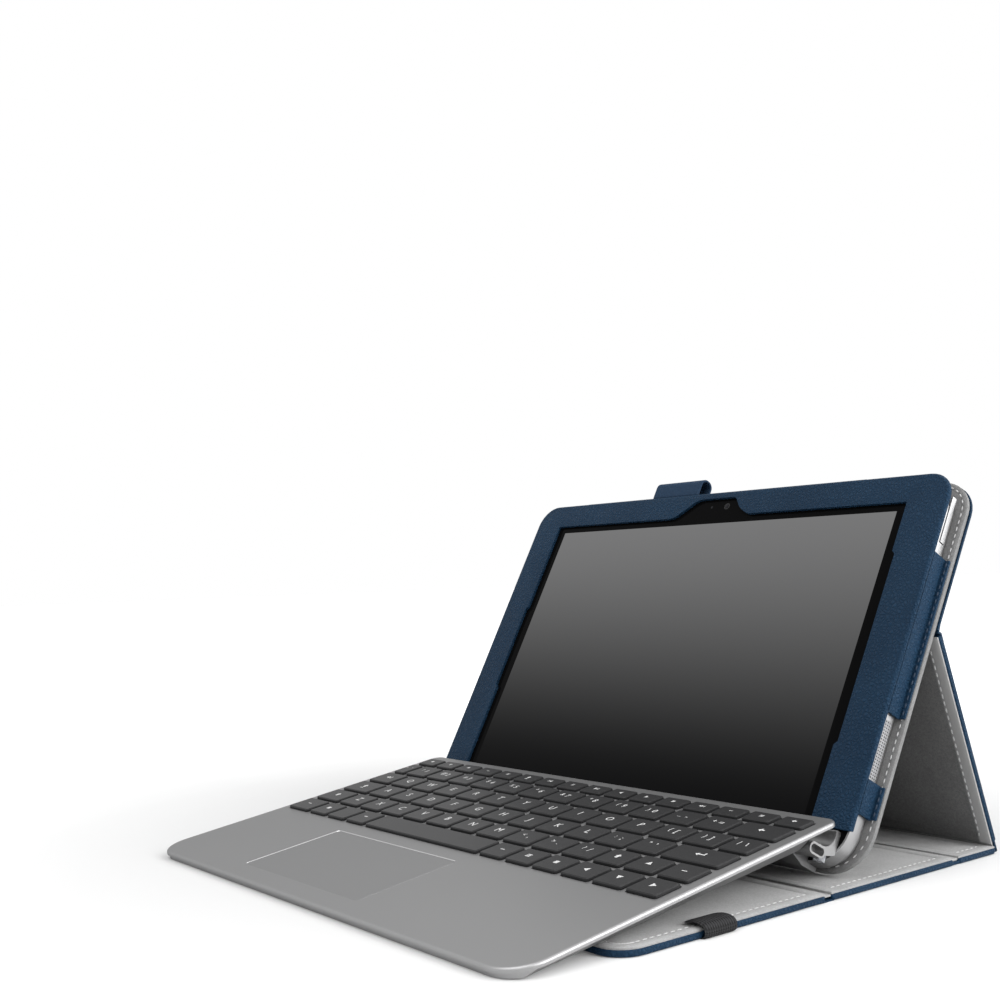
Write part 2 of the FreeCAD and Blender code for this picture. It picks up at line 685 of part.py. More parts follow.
def hinge():
    outer, lug, inner = hinge_spans()
    floor = TABLET_LIFT - FIT
    under = floor - CRADLE_FLOOR
    lip_back = SCREEN_FACE + FIT
    lip_front = lip_back + LIP_THICK
    points = [
        (under, lip_back - CRADLE_REACH), (under, lip_front), (TUBE_UP - TUBE_HALF, TUBE_FORWARD),
        (TUBE_UP + TUBE_HALF, TUBE_FORWARD), (LIP_UP, lip_front), (LIP_UP, lip_back), (floor, lip_back),
        (floor, lip_back - CRADLE_REACH),
    ]
    tray_side = TABLET_SIDE - TABLET_CORNER
    tray = bar(points, (0,) * len(points), -tray_side, tray_side)
    points = [
        (END_UP, lip_back), (TUBE_UP - TUBE_HALF, TUBE_FORWARD), (TUBE_UP + TUBE_HALF, TUBE_FORWARD),
        (LIP_UP, lip_front), (LIP_UP, lip_back),
    ]
    tray = joined([tray, bar(points, (0,) * len(points), -CRADLE_SIDE, CRADLE_SIDE)])
    swept = math.hypot(HINGE_SETBACK, HINGE_DROP) + SWEEP_GAP
    tray = tray.cut(rod(swept, -CRADLE_SIDE, CRADLE_SIDE, HINGE_UP, HINGE_FORWARD))
    tube = oval(0, -CRADLE_SIDE, CRADLE_SIDE)
    ears = both_sides(hinge_ear(*outer)) + both_sides(hinge_ear(*inner))
    cradle = joined([tray, tube] + ears)
    pin = rod(PIN_RADIUS, inner[0], outer[1], HINGE_UP, HINGE_FORWARD)
    bore = oval(TUBE_WALL, CRADLE_SIDE - TUBE_BORE_DEPTH, CRADLE_SIDE)
    cradle = cradle.cut(both_sides(pin) + both_sides(bore))
    bumper_x = CRADLE_SIDE - BUMPER_INBOARD
    bumper_foot = Vector(bumper_x, BUMPER_LOW, BUMPER_FORWARD)
    bumper = Part.makeCylinder(BUMPER_RADIUS, END_UP - BUMPER_LOW, bumper_foot, Vector(0, 1, 0)).cut(cradle)
    return {
        "hinge_cradle": on_tablet(cradle),
        "hinge_pins": on_tablet(Part.makeCompound(both_sides(pin))),
        "corner_bumpers": on_tablet(Part.makeCompound(both_sides(bumper))),
    }


# Keyboard, drawn with the hinge axis at the origin and the deck level


def deck_y(setback):
    return HINGE_SETBACK - setback


def deck_plate(inset, front_inset, rear, bottom, top):
    """Deck outline drawn in by inset, cut off at a setback from its rear edge."""
    side = DECK_SIDE - inset
    corner = DECK_CORNER_FRONT - inset
    rear_corner = DECK_CORNER_REAR if rear == 0 else 0
    return plate(-side, side, deck_y(DECK_DEPTH - front_inset), deck_y(rear),
                 HINGE_DROP + bottom, HINGE_DROP + top, (corner, corner, rear_corner, rear_corner))


def key_rows():
    """Rows from the back: each is its setback, its depth and its keys as (node, width in units)."""
    function = [("function_keys", ROW_UNITS / FUNCTION_COUNT)] * FUNCTION_COUNT
    number = [("number_keys", 0.6)] + [("number_keys", 1)] * 12 + [("backspace_key", 1.4)]
    upper = [("tab_key", 1.1)] + [("upper_letter_keys", 1)] * 12 + [("upper_letter_keys", 0.9)]
    home = [("caps_key", 1.3)] + [("home_letter_keys", 1)] * 11 + [("enter_key", 1.7)]
    lower = [("left_shift_key", 1.2)] + [("lower_letter_keys", 1)] * 10
    lower += [("right_shift_key", 0.9), ("up_arrow_key", 0.95), ("lower_letter_keys", 0.95)]
    bottom = [("bottom_row_keys", 1.1)] + [("bottom_row_keys", 0.9)] * 3 + [("space_bar", 4.65)]
    bottom += [("bottom_row_keys", 0.9)] * 3
    bottom += [("left_arrow_key", 0.95), ("down_arrow_key", 0.95), ("right_arrow_key", 0.95)]
    rows = [(FUNCTION_SETBACK, FUNCTION_DEPTH, function)]
    for index, keys in enumerate((number, upper, home, lower, bottom)):
        rows.append((FIRST_ROW + index * ROW_PITCH, KEY_DEPTH, keys))
    return rows


def key_places():
    """Every key as (node, left, right, front, back) on the deck."""
    places = []
    for setback, depth, keys in key_rows():
        left = -DECK_SIDE + KEY_MARGIN
        for node, units in keys:
            right = left + units * KEY_PITCH
            places.append((node, left + KEY_GAP / 2, right - KEY_GAP / 2,
                           deck_y(setback + depth), deck_y(setback)))
            left = right
    return places


def key_cap(left, right, front, back):
    low = HINGE_DROP - KEY_SUNK
    high = HINGE_DROP + KEY_PROUD
    cap = plate(left, right, front, back, low, high, (KEY_CORNER,) * 4)
    top_edges = [edge for edge in cap.Edges if edge.BoundBox.ZMin > high - KEY_CHAMFER]
    return cap.makeChamfer(KEY_CHAMFER, top_edges)


def key_well(left, right, front, back):
    clear = KEY_CLEAR
    corner = KEY_CORNER + clear
    return plate(left - clear, right + clear, front - clear, back + clear,
                 HINGE_DROP - DECK_PLATE, HINGE_DROP, (corner,) * 4)


def trackpad_plate(clear, bottom, top):
    left = PAD_OFFSET - PAD_WIDTH / 2 - clear
    right = PAD_OFFSET + PAD_WIDTH / 2 + clear
    back = deck_y(KEYS_FRONT + PAD_GAP) + clear
    front = deck_y(DECK_DEPTH - PAD_FRONT) - clear
    corner = PAD_CORNER + clear
    return plate(left, right, front, back, HINGE_DROP + bottom, HINGE_DROP + top, (corner,) * 4)


def key_deck():
    deck = deck_plate(0, 0, 0, -DECK_SKIRT, 0)
    deck = deck.makeFillet(DECK_EDGE, [edge for edge in deck.Edges if edge.BoundBox.ZMin > HINGE_DROP - FIT])
    deck = deck.cut(deck_plate(DECK_WALL, DECK_WALL, DECK_LIP_DEPTH, -DECK_SKIRT, -DECK_PLATE))
    lip_side = DECK_SIDE - DECK_CORNER_REAR
    lip = plate(-lip_side, lip_side, deck_y(DECK_LIP_DEPTH), deck_y(0),
                HINGE_DROP - DECK_LIP, HINGE_DROP - DECK_PLATE)
    deck = joined([deck, lip])
    outer, lug, inner = hinge_spans()
    sweep = EAR_RADIUS + SWEEP_GAP
    notch = plate(inner[0] - LUG_GAP, outer[1] + LUG_GAP, deck_y(DECK_LIP_DEPTH), deck_y(0), 0, sweep)
    ring = rod(EAR_RADIUS, *lug, 0, 0)
    neck = plate(*lug, -EAR_RADIUS, EAR_RADIUS, 0, sweep)
    bore = rod(PIN_RADIUS + PIN_CLEAR, *lug, 0, 0)
    deck = joined([deck.cut(both_sides(notch))] + both_sides(ring) + both_sides(neck))
    wells = [key_well(*place) for node, *place in key_places()]
    return deck.cut(both_sides(bore) + wells + [trackpad_plate(PAD_CLEAR, -DECK_PLATE, 0)])


def wedge(rear, front, lift):
    """Side view of the bottom shell: its underside, raised by lift, up to the parting line."""
    top = HINGE_DROP - DECK_SKIRT - PARTING
    points = [
        (deck_y(rear), HINGE_DROP - shell_bottom(rear) + lift), (deck_y(rear), top),
        (deck_y(front), top), (deck_y(front), HINGE_DROP - shell_bottom(front) + lift),
    ]
    return bar(points, (0, 0, 0, 0), -DECK_SIDE, DECK_SIDE)


def shell_side(depth):
    """Half width of the bottom shell at a depth below the deck."""
    return DECK_SIDE - SHELL_INSET - SHELL_TAPER * (depth - DECK_SKIRT) / (REAR_THICK - DECK_SKIRT)


def trough(wall):
    """Bottom shell's cross section, drawn in by a wall and drawn out along the keyboard."""
    high, low = shell_side(DECK_SKIRT) - wall, shell_side(REAR_THICK) - wall
    points = [
        (-high, 0), (-high, -DECK_SKIRT), (-low, -REAR_THICK),
        (low, -REAR_THICK), (high, -DECK_SKIRT), (high, 0),
    ]
    shape = Part.Face(outline(points, (0,) * len(points))).extrude(Vector(0, 0, DECK_DEPTH))
    shape.rotate(Vector(0, 0, 0), Vector(1, 0, 0), 90)
    shape.translate(Vector(0, deck_y(0), HINGE_DROP))
    return shape


def shell_spot(setback):
    """Height of the bottom shell's underside, with the hinge axis at zero."""
    return HINGE_DROP - shell_bottom(setback)


def screw_places():
    side = DECK_SIDE - SCREW_INBOARD
    near = SHELL_REAR + SCREW_INBOARD
    far = DECK_DEPTH - SCREW_INBOARD
    return [(x, setback) for setback in (near, far) for x in (-side, 0, side)]


def bottom_shell():
    outer = wedge(SHELL_REAR, DECK_DEPTH, 0)
    outer = outer.common(deck_plate(SHELL_INSET, SHELL_INSET, SHELL_REAR, -REAR_THICK, 0)).common(trough(0))
    wall = SHELL_INSET + SHELL_WALL
    inner = wedge(SHELL_REAR + SHELL_WALL, DECK_DEPTH, SHELL_WALL)
    inner = inner.common(deck_plate(wall, PAD_FRONT - PAD_CLEAR, SHELL_REAR + SHELL_WALL, -REAR_THICK, 0))
    inner = inner.common(trough(SHELL_SIDE_WALL))
    rear_top = plate(-DECK_SIDE, DECK_SIDE, deck_y(SHELL_REAR + SHELL_WALL), deck_y(SHELL_REAR),
                     HINGE_DROP + KEY_PLATE_TOP - KEY_PLATE - FIT, HINGE_DROP)
    sinks = [disc(SCREW_RADIUS + FIT, x, deck_y(setback), -REAR_THICK, shell_spot(setback) + SCREW_HEIGHT)
             for x, setback in screw_places()]
    return outer.cut([inner, rear_top] + sinks)


def shell_foot(setback, height):
    """Round rubber foot, its top face lying on the sloping underside."""
    slope = math.degrees(math.atan2(REAR_THICK - FRONT_THICK, DECK_DEPTH - SHELL_REAR))
    foot = disc(FOOT_RADIUS, DECK_SIDE - FOOT_INBOARD, 0, -height, 0)
    foot.rotate(Vector(0, 0, 0), Vector(1, 0, 0), -slope)
    foot.translate(Vector(0, deck_y(setback), shell_spot(setback)))
    return foot


def keyboard():
    plate_side = shell_side(KEY_PLATE - KEY_PLATE_TOP) - SHELL_SIDE_WALL - KEY_CLEAR
    plate_low = HINGE_DROP + KEY_PLATE_TOP - KEY_PLATE
    key_plate = plate(-plate_side, plate_side, deck_y(KEYS_FRONT + KEY_GAP), deck_y(DECK_LIP_DEPTH + FIT),
                      plate_low, plate_low + KEY_PLATE)
    wide, deep, thick = CIRCUIT_SIZE
    circuit_back = deck_y(SHELL_REAR + SHELL_WALL + KEY_GAP)
    circuit = plate(-wide / 2, wide / 2, circuit_back - deep, circuit_back, plate_low - thick, plate_low)
    feet = both_sides(shell_foot(FRONT_FOOT, FRONT_FOOT_HEIGHT))
    feet += both_sides(shell_foot(REAR_FOOT, REAR_FOOT_HEIGHT))
    screws = [disc(SCREW_RADIUS, x, deck_y(setback), shell_spot(setback), shell_spot(setback) + SCREW_HEIGHT)
              for x, setback in screw_places()]
    parts = {
        "key_deck": on_keyboard(key_deck()),
        "bottom_shell": on_keyboard(bottom_shell()),
        "key_plate": on_keyboard(key_plate),
        "keyboard_circuit": on_keyboard(circuit),
        "keyboard_feet": on_keyboard(Part.makeCompound(feet)),
        "case_screws": on_keyboard(Part.makeCompound(screws)),
        "trackpad": on_keyboard(trackpad_plate(0, -PAD_SUNK - PAD_THICK, -PAD_SUNK)),
    }
    caps = {}
    for node, *place in key_places():
        caps.setdefault(node, []).append(key_cap(*place))
    for node, shapes in caps.items():
        parts[node] = on_keyboard(shapes[0] if len(shapes) == 1 else Part.makeCompound(shapes))
    return parts


def all_parts():
    parts = {}
    for group in (base_cover, front_flap, stand_panel, creases, back_plate, pocket_front, pen_loop, tablet,
                  hinge, keyboard):
        parts.update(group())
    return parts


def print_places():
    """Joint places and angles, for the part's record."""
    pad_back = deck_y(KEYS_FRONT + PAD_GAP)
    pad_y, pad_z = turned(pad_back, HINGE_DROP - PAD_SUNK - PAD_THICK / 2, DECK_SLOPE)
    rocker_y, rocker_z = tablet_point(ROCKER_LOW + ROCKER_LENGTH / 2, TABLET_MIDDLE)
    loop_y, loop_z = tablet_point(POCKET_TOP + LOOP_HEIGHT / 2, LOOP_LOW + LOOP_DEPTH / 2)
    print("deck slope", DECK_SLOPE, "keyboard closes by", 180 - TABLET_TILT + DECK_SLOPE)
    print("hinge axis", HINGE_Y, HINGE_Z, "back fold", FOLD_Y, FOLD_Z)
    print("stand pivot", REAR_Y, STAND_PIVOT_Z, "stand turns", 180 - STAND_ANGLE)
    print("tablet turns on stand", 180 - STAND_ANGLE - TABLET_TILT, "stand length", STAND_LENGTH)
    print("trackpad pivot", HINGE_Y + pad_y, HINGE_Z + pad_z)
    print("rocker pivot", TABLET_SIDE + BUTTON_PROUD - BUTTON_DEPTH / 2, rocker_y, rocker_z)
    print("pen loop middle", loop_y, loop_z)


os.makedirs("parts", exist_ok=True)
for name, shape in all_parts().items():
    shape.exportStep("parts/" + name + ".step")
print_places()
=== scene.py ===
import math

import bmesh
import bpy
from mathutils import Matrix, Vector


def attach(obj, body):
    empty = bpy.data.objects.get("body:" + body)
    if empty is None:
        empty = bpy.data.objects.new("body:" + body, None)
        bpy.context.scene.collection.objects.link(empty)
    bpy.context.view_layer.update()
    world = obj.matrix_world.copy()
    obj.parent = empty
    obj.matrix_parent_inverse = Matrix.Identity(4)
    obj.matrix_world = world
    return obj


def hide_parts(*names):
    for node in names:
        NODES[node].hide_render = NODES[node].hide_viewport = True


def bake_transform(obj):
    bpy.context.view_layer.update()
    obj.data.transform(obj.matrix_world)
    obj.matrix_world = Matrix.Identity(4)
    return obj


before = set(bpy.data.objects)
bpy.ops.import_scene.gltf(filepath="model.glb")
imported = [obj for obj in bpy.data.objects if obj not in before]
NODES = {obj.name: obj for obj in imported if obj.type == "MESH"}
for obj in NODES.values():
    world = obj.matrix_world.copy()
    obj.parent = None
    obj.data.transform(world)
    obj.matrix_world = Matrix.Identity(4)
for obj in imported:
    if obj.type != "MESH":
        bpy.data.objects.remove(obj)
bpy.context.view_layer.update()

MM = 0.001

# Places shared with the solids, in millimetres and degrees
TILT = 61.0
TILT_RISE = 0.8746  # height gained per length up the tablet
POCKET_Y, POCKET_Z = -30.3451, 9.6995
SLOPE = 8.8157
HINGE_Y, HINGE_Z = -30.4889, 23.1565
STAND_ANGLE = 68.8712
FOLD_Y, FOLD_Z = 30.9899, 93.1234
STAND_LENGTH = 100.4584
REAR_Y = 70.0
FLAP_CREASE_Y = -40.0
SPINE_CREASE_Y = 40.0
HALF_CREASE = 2.0
FLAP_FRONT_Y = -142.6
FLAP_CORNER = 11.0
SIDE = 136.0
PLATE_SIDE = 135.5
PLATE_TOP = 171.8
BACK_FOLD = 102.7
POCKET_SIDE = 133.1
POCKET_TOP = 170.6
STRAPS = ((64.0, 134.0), (22.5, 36.5))
CAMERA_X, SENSOR_X, CAMERA_UP = 8.0, -2.0, 163.0
DISPLAY_SIDE, DISPLAY_FOOT, DISPLAY_HEAD = 108.5, 16.9, 152.9
DECK_SIDE = 131.5
DECK_TOP = 3.65
DECK_SETBACK = 4.0


def hinged(y, z, angle):
    """A frame at a point of the side view, turned about X."""
    return Matrix.Translation((0, y * MM, z * MM)) @ Matrix.Rotation(math.radians(angle), 4, "X")


ON_TABLET = hinged(POCKET_Y, POCKET_Z, TILT)
ON_DECK = hinged(HINGE_Y, HINGE_Z, SLOPE)
ON_STAND = hinged(FOLD_Y, FOLD_Z, -STAND_ANGLE)
ON_TABLE = Matrix.Identity(4)
FACE_DOWN = Matrix.Diagonal((1, 1, -1, 1))


# Shader maths

# Sockets of a mix node that mixes colours
MIX_FACTOR, MIX_FIRST, MIX_SECOND, MIX_RESULT = 0, 6, 7, 2


class Value:
    """A number socket that works in plain arithmetic."""

    def __init__(self, nodes, socket):
        self.nodes = nodes
        self.socket = socket

    def math(self, operation, first, second=0.0):
        return self.nodes.number("ShaderNodeMath", {"operation": operation}, {0: first, 1: second})

    def __add__(self, other):
        return self.math("ADD", self, other)

    def __mul__(self, other):
        return self.math("MULTIPLY", self, other)

    def __sub__(self, other):
        return self.math("SUBTRACT", self, other)

    def __rsub__(self, other):
        return self.math("SUBTRACT", other, self)

    def wave(self):
        """A sine that runs from 0 to 1."""
        return self.math("SINE", self) * 0.5 + 0.5

    def size(self):
        return self.math("ABSOLUTE", self)

    def above(self, limit):
        return self.math("GREATER_THAN", self, limit)

    def between(self, low, high):
        """0 below low, 1 above high and a smooth rise between."""
        return self.nodes.number("ShaderNodeMapRange", {"interpolation_type": "SMOOTHSTEP"},
                                 {"Value": self, "From Min": low, "From Max": high})


class Nodes:
    """A node tree whose nodes are added by name."""

    def __init__(self, tree):
        self.tree = tree

    def node(self, kind, settings=None, inputs=None):
        node = self.tree.nodes.new(kind)
        for key, value in (settings or {}).items():
            setattr(node, key, value)
        for key, value in (inputs or {}).items():
            self.feed(node.inputs[key], value)
        return node

    def feed(self, target, value):
        """Links a socket or sets a constant; colours come as three channels."""
        if isinstance(value, Value):
            value = value.socket
        if isinstance(value, bpy.types.NodeSocket):
            self.tree.links.new(value, target)
        elif target.type == "RGBA":
            target.default_value = (*value, 1.0)
        else:
            target.default_value = value

    def number(self, kind, settings, inputs, output=0):
        return Value(self, self.node(kind, settings, inputs).outputs[output])

    def seen_by(self, *rays):
        """1 for the named kinds of ray and 0 for the others."""
        path = self.node("ShaderNodeLightPath")
        seen, *others = [Value(self, path.outputs[f"Is {ray} Ray"]) for ray in rays]
        for other in others:
            seen = seen.math("MAXIMUM", seen, other)
        return seen


class Finish(Nodes):
    """A material and its patterns."""

    def __init__(self, name):
        self.material = bpy.data.materials.new(name)
        self.material.use_nodes = True
        super().__init__(self.material.node_tree)
        self.shader = self.tree.nodes["Principled BSDF"]

    def place(self, turn=0.0):
        """Object coordinates, turned about X so that a pattern lies square on a tilted piece."""
        place = self.node("ShaderNodeTexCoord").outputs["Object"]
        if turn:
            turned = {"Vector": place, "Rotation": (math.radians(-turn), 0, 0)}
            place = self.node("ShaderNodeMapping", None, turned).outputs[0]
        return place

    def axes(self, place):
        split = self.node("ShaderNodeSeparateXYZ", None, {0: place})
        return [Value(self, socket) for socket in split.outputs]

    def noise(self, place, scale, detail=2.0, rough=0.5):
        inputs = {"Vector": place, "Scale": scale, "Detail": detail, "Roughness": rough}
        return self.number("ShaderNodeTexNoise", {}, inputs)

    def cells(self, place, scale):
        """Distance to the edges of uneven cells."""
        return self.number("ShaderNodeTexVoronoi", {"feature": "DISTANCE_TO_EDGE"},
                           {"Vector": place, "Scale": scale})

    def mix(self, factor, first, second):
        inputs = {MIX_FACTOR: factor, MIX_FIRST: first, MIX_SECOND: second}
        return self.node("ShaderNodeMix", {"data_type": "RGBA"}, inputs).outputs[MIX_RESULT]

    def bump(self, height, distance, strength=1.0):
        inputs = {"Height": height, "Distance": distance, "Strength": strength}
        self.set(Normal=self.node("ShaderNodeBump", None, inputs).outputs[0])

    def set(self, **sockets):
        for name, value in sockets.items():
            self.feed(self.shader.inputs[name.replace("_", " ")], value)
        return self.material


def grey(level):
    return (level,) * 3


def dimmed(colour, share):
    return tuple(channel * share for channel in colour)


def leather_finish(name, dark, light):
    """Pebbled leather: rounded grains with fine creases between them, in slightly uneven dye, with painted
    shade darkening the creases.
    """
    leather = Finish(name)
    place = leather.place()
    warp = leather.node("ShaderNodeTexNoise", None, {"Vector": place, "Scale": 420.0, "Detail": 2.0})
    warped = {0: warp.outputs["Color"], 1: (0.0011,) * 3, 2: place}
    shifted = leather.node("ShaderNodeVectorMath", {"operation": "MULTIPLY_ADD"}, warped).outputs[0]
    grain = leather.cells(shifted, scale=620.0).between(0.0, 0.36)
    small = leather.cells(shifted, scale=1500.0).between(0.0, 0.35)
    fibre = leather.noise(place, scale=3800.0, detail=3.0)
    dye = leather.noise(place, scale=24.0, detail=3.0)
    colour = leather.mix(dye.between(0.3, 0.72), dark, light)
    # Painted shade: the colour goes darker towards the creases between the grains
    colour = leather.mix(grain * 0.42 + 0.58, dimmed(dark, 0.55), colour)
    leather.bump(grain * 0.66 + small * 0.22 + fibre * 0.12, distance=0.00045, strength=0.9)
    return leather.set(Base_Color=colour, Roughness=0.50 - grain * 0.12 + fibre * 0.1,
                       Specular_IOR_Level=0.10)


def lining_finish(name, dark, light, hem=None):
    """Brushed microfibre: a short nap with soft mottling; hem is a lighter tone outside the sewn side lines,
    so that darker colours inside them are painted shade.
    """
    lining = Finish(name)
    place = lining.place()
    nap = lining.noise(place, scale=2600.0, detail=4.0, rough=0.7)
    brushed = lining.noise(place, scale=90.0, detail=3.0)
    fleck = lining.noise(place, scale=900.0)
    shade = nap * 0.6 + brushed * 0.18 + fleck * 0.22
    colour = lining.mix(shade.between(0.36, 0.66), dark, light)
    if hem:
        # Painted shade: lighter outside the sewn lines, darker inside them
        sewn, puffed = 0.1298, 0.1312
        across = lining.axes(place)[0].size()
        colour = lining.mix(across.between(sewn, puffed), colour, hem)
    lining.bump(nap * 0.7 + fleck * 0.3, distance=0.00016, strength=0.7)
    return lining.set(Base_Color=colour, Roughness=0.93, Sheen_Weight=0.18, Sheen_Roughness=0.5)


def thread_finish(name, colour):
    """Twisted sewing thread."""
    thread = Finish(name)
    along, across, up = thread.axes(thread.place())
    twist = ((along + across + up) * 9000.0).wave()
    thread.bump(twist, distance=0.00006)
    return thread.set(Base_Color=thread.mix(twist, dimmed(colour, 0.7), colour), Roughness=0.7)


def webbing_finish():
    """Woven navy tape: ribs along the loop and finer picks across it."""
    tape = Finish("woven_tape")
    across, up, out = tape.axes(tape.place(TILT))
    ribs = (across * 7200.0).wave()
    picks = ((up + out) * 9000.0).wave()
    weave = ribs * 0.6 + picks * 0.4
    fuzz = tape.noise(tape.place(), scale=2200.0)
    colour = tape.mix(weave * 0.7 + fuzz * 0.3, (0.007, 0.020, 0.046), (0.028, 0.062, 0.116))
    tape.bump(weave, distance=0.00018)
    return tape.set(Base_Color=colour, Roughness=0.8, Specular_IOR_Level=0.2)


def elastic_finish():
    """Black ribbed elastic: cords across the band, wound with a fine yarn."""
    band = Finish("black_elastic")
    along, across, up = band.axes(band.place())
    ribs = (across * 5600.0).wave()
    yarn = ((along + up) * 6400.0 + ribs * 1.8).wave()
    weave = ribs * 0.55 + yarn * 0.45
    colour = band.mix(weave, (0.003, 0.003, 0.0035), (0.034, 0.034, 0.036))
    band.bump(weave, distance=0.0003)
    return band.set(Base_Color=colour, Roughness=0.78, Specular_IOR_Level=0.2)


def aluminium_finish(name, colour, rough=0.40, metal=0.82):
    """Bead-blasted and anodised aluminium with a very fine grain."""
    silver = Finish(name)
    place = silver.place()
    blast = silver.noise(place, scale=5200.0)
    cloud = silver.noise(place, scale=16.0)
    tone = silver.mix(blast * 0.55 + cloud * 0.45, dimmed(colour, 0.93), colour)
    silver.bump(blast, distance=0.00003, strength=0.5)
    return silver.set(Base_Color=tone, Roughness=blast * 0.08 + (rough - 0.04), Metallic=metal,
                      Specular_Tint=grey(0.35))


def grille_finish():
    """Fine round perforations in rows."""
    mesh = Finish("speaker_mesh")
    _, up, out = mesh.axes(mesh.place(TILT))
    rows = (up * 5200.0).wave() * (out * 5200.0).wave()
    hole = rows.between(0.30, 0.55)
    mesh.bump(1.0 - hole, distance=0.0002)
    return mesh.set(Base_Color=mesh.mix(hole, (0.40, 0.40, 0.41), grey(0.012)), Roughness=0.45,
                    Metallic=0.7 - hole * 0.7)


def screen_finish():
    """Black cover glass with a painted reflection: over the display area it glows from grey at the top to
    near black.
    """
    glass = Finish("cover_glass")
    across, _, height = glass.axes(glass.place())
    low, high = [(POCKET_Z + up * TILT_RISE) * MM for up in (DISPLAY_FOOT, DISPLAY_HEAD)]
    rise = (height - low) * (1.0 / (high - low))
    beside = across.size().above(DISPLAY_SIDE * MM)
    inside = (1.0 - beside) * rise.above(0.0) * (1.0 - rise.above(1.0))
    # Painted reflection: an emitted glow from grey at the top of the display to near black at its foot
    glow = glass.mix(rise.between(0.0, 1.12), (0.0030, 0.0030, 0.0031), (0.185, 0.185, 0.186))
    dust = glass.noise(glass.place(), scale=300.0)
    return glass.set(Base_Color=(0.004, 0.004, 0.0042), Emission_Color=glass.mix(inside, grey(0.0), glow),
                     Emission_Strength=1.0, Roughness=dust * 0.05 + 0.08, Specular_IOR_Level=0.012)


def keycap_finish():
    """Dark key plastic with a fine matt grain."""
    cap = Finish("key_plastic")
    place = cap.place()
    grain = cap.noise(place, scale=4200.0)
    worn = cap.noise(place, scale=60.0)
    colour = cap.mix(grain * 0.5 + worn * 0.5, (0.014, 0.014, 0.015), (0.025, 0.025, 0.026))
    cap.bump(grain, distance=0.00004, strength=0.6)
    return cap.set(Base_Color=colour, Roughness=grain * 0.12 + 0.42, Specular_IOR_Level=0.26)


def speckled_finish(name, dark, light, scale, rough, metal=0.0, gloss=0.5):
    """Plain moulded, coated or drawn stock with a fine uneven grain."""
    stock = Finish(name)
    speck = stock.noise(stock.place(), scale, detail=3.0)
    stock.bump(speck, distance=0.00005, strength=0.6)
    return stock.set(Base_Color=stock.mix(speck.between(0.3, 0.7), dark, light),
                     Roughness=speck * 0.14 + (rough - 0.07), Metallic=metal, Specular_IOR_Level=gloss)


def circuit_finish():
    """Green circuit board with copper tracks."""
    board = Finish("circuit_board")
    place = board.place()
    track = board.cells(place, scale=260.0).between(0.02, 0.06)
    fleck = board.noise(place, scale=1500.0)
    colour = board.mix(track, (0.10, 0.16, 0.05), (0.012, 0.060, 0.030))
    board.bump(1.0 - track, distance=0.00004)
    return board.set(Base_Color=colour, Roughness=fleck * 0.2 + 0.35)


def clear_rubber_finish():
    """Cloudy see-through rubber."""
    bumper = Finish("clear_rubber")
    cloud = bumper.noise(bumper.place(), scale=700.0)
    colour = bumper.mix(cloud, (0.62, 0.64, 0.70), (0.80, 0.81, 0.84))
    return bumper.set(Base_Color=colour, Roughness=cloud * 0.1 + 0.15, Transmission_Weight=0.6, IOR=1.45)


LEATHER = leather_finish("navy_leather", (0.0085, 0.0300, 0.0640), (0.0135, 0.0430, 0.0870))
LINING = lining_finish("grey_lining", grey(0.300), grey(0.440))
# Shaded copy of the grey lining for the stand's inside: painted shade in a dark body with a lighter hem
SHADED_LINING = lining_finish("shaded_lining", grey(0.085), grey(0.150), grey(0.34))
PALE_LINING = lining_finish("pale_lining", grey(0.150), grey(0.240))
PALE_THREAD = thread_finish("pale_thread", grey(0.76))
NAVY_THREAD = thread_finish("navy_thread", (0.030, 0.052, 0.090))
BLUE_THREAD = thread_finish("light_blue_thread", (0.42, 0.52, 0.64))
WEBBING = webbing_finish()
ELASTIC = elastic_finish()
SILVER = aluminium_finish("blasted_aluminium", (0.365, 0.365, 0.368))
BRIGHT = aluminium_finish("polished_aluminium", (0.62, 0.62, 0.625), rough=0.26, metal=0.9)
TABLET_SILVER = aluminium_finish("tablet_aluminium", (0.48, 0.48, 0.484), rough=0.34, metal=0.86)
PAD = aluminium_finish("trackpad_aluminium", (0.310, 0.310, 0.313), rough=0.44, metal=0.75)
GRILLE = grille_finish()
SCREEN = screen_finish()
KEYCAP = keycap_finish()
INK = speckled_finish("legend_ink", grey(0.70), grey(0.82), scale=3000.0, rough=0.6)
STIFFENER = speckled_finish("grey_board", (0.20, 0.18, 0.15), (0.34, 0.31, 0.27), scale=900.0, rough=0.9)
PANEL = speckled_finish("display_film", (0.008, 0.008, 0.009), (0.012, 0.012, 0.013), scale=400.0,
                        rough=0.25)
CELL = speckled_finish("battery_wrap", (0.035, 0.035, 0.038), (0.055, 0.055, 0.058), scale=500.0, rough=0.5)
RUBBER = speckled_finish("black_rubber", grey(0.016), grey(0.030), scale=2400.0, rough=0.8, gloss=0.3)
CONTACTS = speckled_finish("contact_block", grey(0.015), grey(0.030), scale=1200.0, rough=0.4)
STEEL = speckled_finish("drawn_steel", (0.36, 0.36, 0.37), (0.46, 0.46, 0.47), scale=2600.0, rough=0.32,
                        metal=1.0)
LENS = speckled_finish("camera_glass", (0.004, 0.004, 0.006), (0.010, 0.010, 0.016), scale=300.0, rough=0.12,
                       gloss=0.12)
CIRCUIT = circuit_finish()
CLEAR = clear_rubber_finish()


# Modelling, in millimetres

SAME_LEVEL = 1e-7
RIM_ANGLE = 0.6


def scaled(*values):
    return [value * MM for value in values]


def box_points(left, right, front, back):
    return [(left, front), (right, front), (right, back), (left, back)]


def all_corners(radius):
    return [(index, radius) for index in range(4)]


